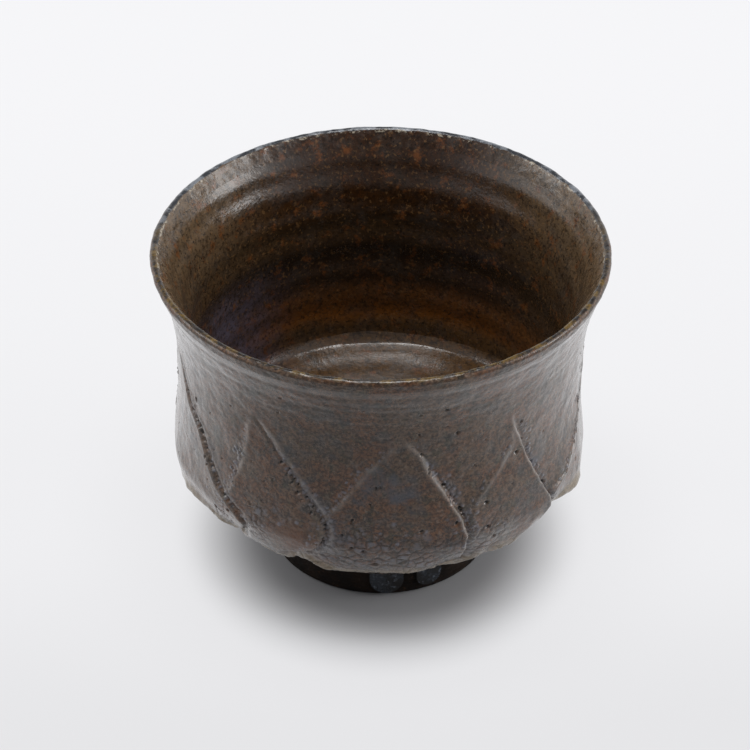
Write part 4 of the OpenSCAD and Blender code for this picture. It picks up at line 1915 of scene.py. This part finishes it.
@dataclass(frozen=True)
class Studio:
    """A pale floor, soft lamps behind and above, and the camera at the photograph's angle."""

    centre_z: float = 0.030775
    camera_distance: float = 0.7
    camera_rise: float = 0.62110
    lens: float = 211.08
    side_step: float = -0.0009
    floor_size: float = 3.0
    shadow_oval: float = 0.87
    shadow_reach: tuple[float, float] = (0.0185, 0.0345)
    paper_share: float = 0.75

    def floor(self) -> None:
        """Lay the floor: matt paper that burns out to white away from the shadow, for eye and gloss."""
        mesh = bpy.data.meshes.new("floor")
        size = self.floor_size
        corners = [(-size, -size, 0), (size, -size, 0), (size, size, 0), (-size, size, 0)]
        mesh.from_pydata(corners, [], [(0, 1, 2, 3)])
        kit = ShaderKit("matt_white_sweep")
        kit.give({"Base Color": srgb("aaaaac"), "Roughness": 0.6, "Specular IOR Level": 0.2})
        path = add_node(kit.tree, "ShaderNodeLightPath").outputs
        seen = kit.put(Step.LARGER, path["Is Camera Ray"], path["Is Glossy Ray"])
        parts = add_node(kit.tree, "ShaderNodeSeparateXYZ", {0: kit.place}).outputs
        far = kit.put(Step.LENGTH, kit.put(Step.STRETCH, kit.place, (1.0, self.shadow_oval, 1.0)))
        lit = kit.put(Step.RISE, far, *self.shadow_reach, 0.0, self.paper_share)
        share = kit.put(Step.TIMES, seen, lit)
        front = kit.put(Step.RISE, parts["Y"], -0.055, 0.0, 1.01, 1.14)
        level = kit.put(Step.PLUS, front, kit.put(Step.RISE, parts["Y"], 0.0, 0.16, 0.0, 0.07))
        right = kit.put(Step.TIMES, parts["X"], 0.42)
        slant = kit.put(Step.PLUS, kit.put(Step.TIMES, parts["Y"], 0.91), right)
        ahead = kit.put(Step.RISE, kit.put(Step.LARGER, parts["Y"], slant), -0.06, 0.0, 0.6, 0.0)
        glossy = kit.put(Step.TIMES, path["Is Glossy Ray"], ahead)
        level = kit.put(Step.TIMES, level, kit.put(Step.MINUS, 1.0, glossy))
        glow = {"Color": srgb("f0f0f2"), "Strength": level}
        paper = add_node(kit.tree, "ShaderNodeEmission", glow).outputs[0]
        both = {0: share, 1: kit.shader.outputs[0], 2: paper}
        surface = add_node(kit.tree, "ShaderNodeMixShader", both).outputs[0]
        feed(kit.tree, kit.tree.nodes["Material Output"], {"Surface": surface})
        add_piece("floor", mesh, kit.material)

    def lamps(self) -> None:
        """Hang the lamps: a broad one behind and above, and one to each side of it."""
        for name, turn, rise, far, size, power in (
            ("top_lamp", 0.0, 86.0, 0.9, (0.5, 0.44), 6.0),
            ("left_lamp", 262.0, 34.0, 1.0, (0.45, 0.55), 2.6),
            ("right_lamp", 86.0, 24.0, 1.0, (0.45, 0.55), 3.8),
        ):
            data = bpy.data.lights.new(name, "AREA")
            data.shape = "RECTANGLE"
            data.size, data.size_y = size
            data.energy = power
            lamp = put_in_scene(name, data)
            a, e = math.radians(turn), math.radians(rise)
            way = Vector((math.sin(a) * math.cos(e), -math.cos(a) * math.cos(e), math.sin(e)))
            target = Vector((0, 0, self.centre_z))
            lamp.location = target + way * far
            lamp.rotation_euler = (-way).to_track_quat("-Z", "Y").to_euler()

    def world(self) -> None:
        """Light the room low, darker before the cup, with pale walls round it for gloss to show."""
        world = bpy.data.worlds.new("studio")
        bpy.context.scene.world = world
        world.use_nodes = True
        tree = world.node_tree
        way = add_node(tree, "ShaderNodeTexCoord").outputs["Generated"]
        parts = add_node(tree, "ShaderNodeSeparateXYZ", {0: way}).outputs
        side = put(tree, Step.RISE, parts["Y"], -0.88, -0.35)
        plain = put(tree, Step.RISE, side, 0.0, 1.0, 0.16, 0.36)
        right = put(tree, Step.RISE, parts["X"], 0.1, 0.9, 0.0, 0.4)
        left = put(tree, Step.RISE, parts["X"], -0.1, -0.9, 0.0, 0.2)
        plain = put(tree, Step.PLUS, plain, put(tree, Step.PLUS, right, left))
        wall = put(tree, Step.TIMES, side, put(tree, Step.RISE, parts["Z"], 0.6, 0.3, 0.0, 0.6))
        glossy = add_node(tree, "ShaderNodeLightPath").outputs["Is Glossy Ray"]
        total = put(tree, Step.PLUS, plain, put(tree, Step.TIMES, wall, glossy))
        feed(tree, tree.nodes["Background"], {"Color": srgb("f6f7fa"), "Strength": total})

    def camera(self) -> None:
        """Set the camera where the photograph was taken from."""
        data = bpy.data.cameras.new("camera")
        data.lens = self.lens
        data.sensor_width = 36.0
        camera = put_in_scene("camera", data)
        back, up = math.cos(self.camera_rise), math.sin(self.camera_rise)
        camera.location = (
            self.side_step, -self.camera_distance * back, self.centre_z + self.camera_distance * up,
        )
        camera.rotation_euler = (math.pi / 2 - self.camera_rise, 0, 0)
        bpy.context.scene.camera = camera

    def build(self) -> None:
        """Set the whole stage."""
        self.floor()
        self.lamps()
        self.world()
        self.camera()
        bpy.context.scene.view_settings.view_transform = "Standard"


def report(piece: bpy.types.Object) -> None:
    """Log a finished piece."""
    LOG.info("%s: %d points, %d faces", piece.name, len(piece.data.vertices), len(piece.data.polygons))


def main() -> None:
    """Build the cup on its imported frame."""
    logging.basicConfig(level=logging.INFO, format="%(name)s: %(message)s")
    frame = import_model()
    form = CupForm.from_frame()
    LOG.info("cup %.1f mm high and %.1f mm across", form.height, 2 * form.lip_r)
    Studio().build()
    for piece in CarvedBowl(form).build():
        report(piece)
    report(WellCoat(form).build())
    report(LipBand(form).build())
    report(Foot(form).ring())
    runs = frame["nodes"]["foot_glaze_runs"]
    runs.material_slots[0].material = PooledGlaze().material()


if __name__ == "__main__":
    main()
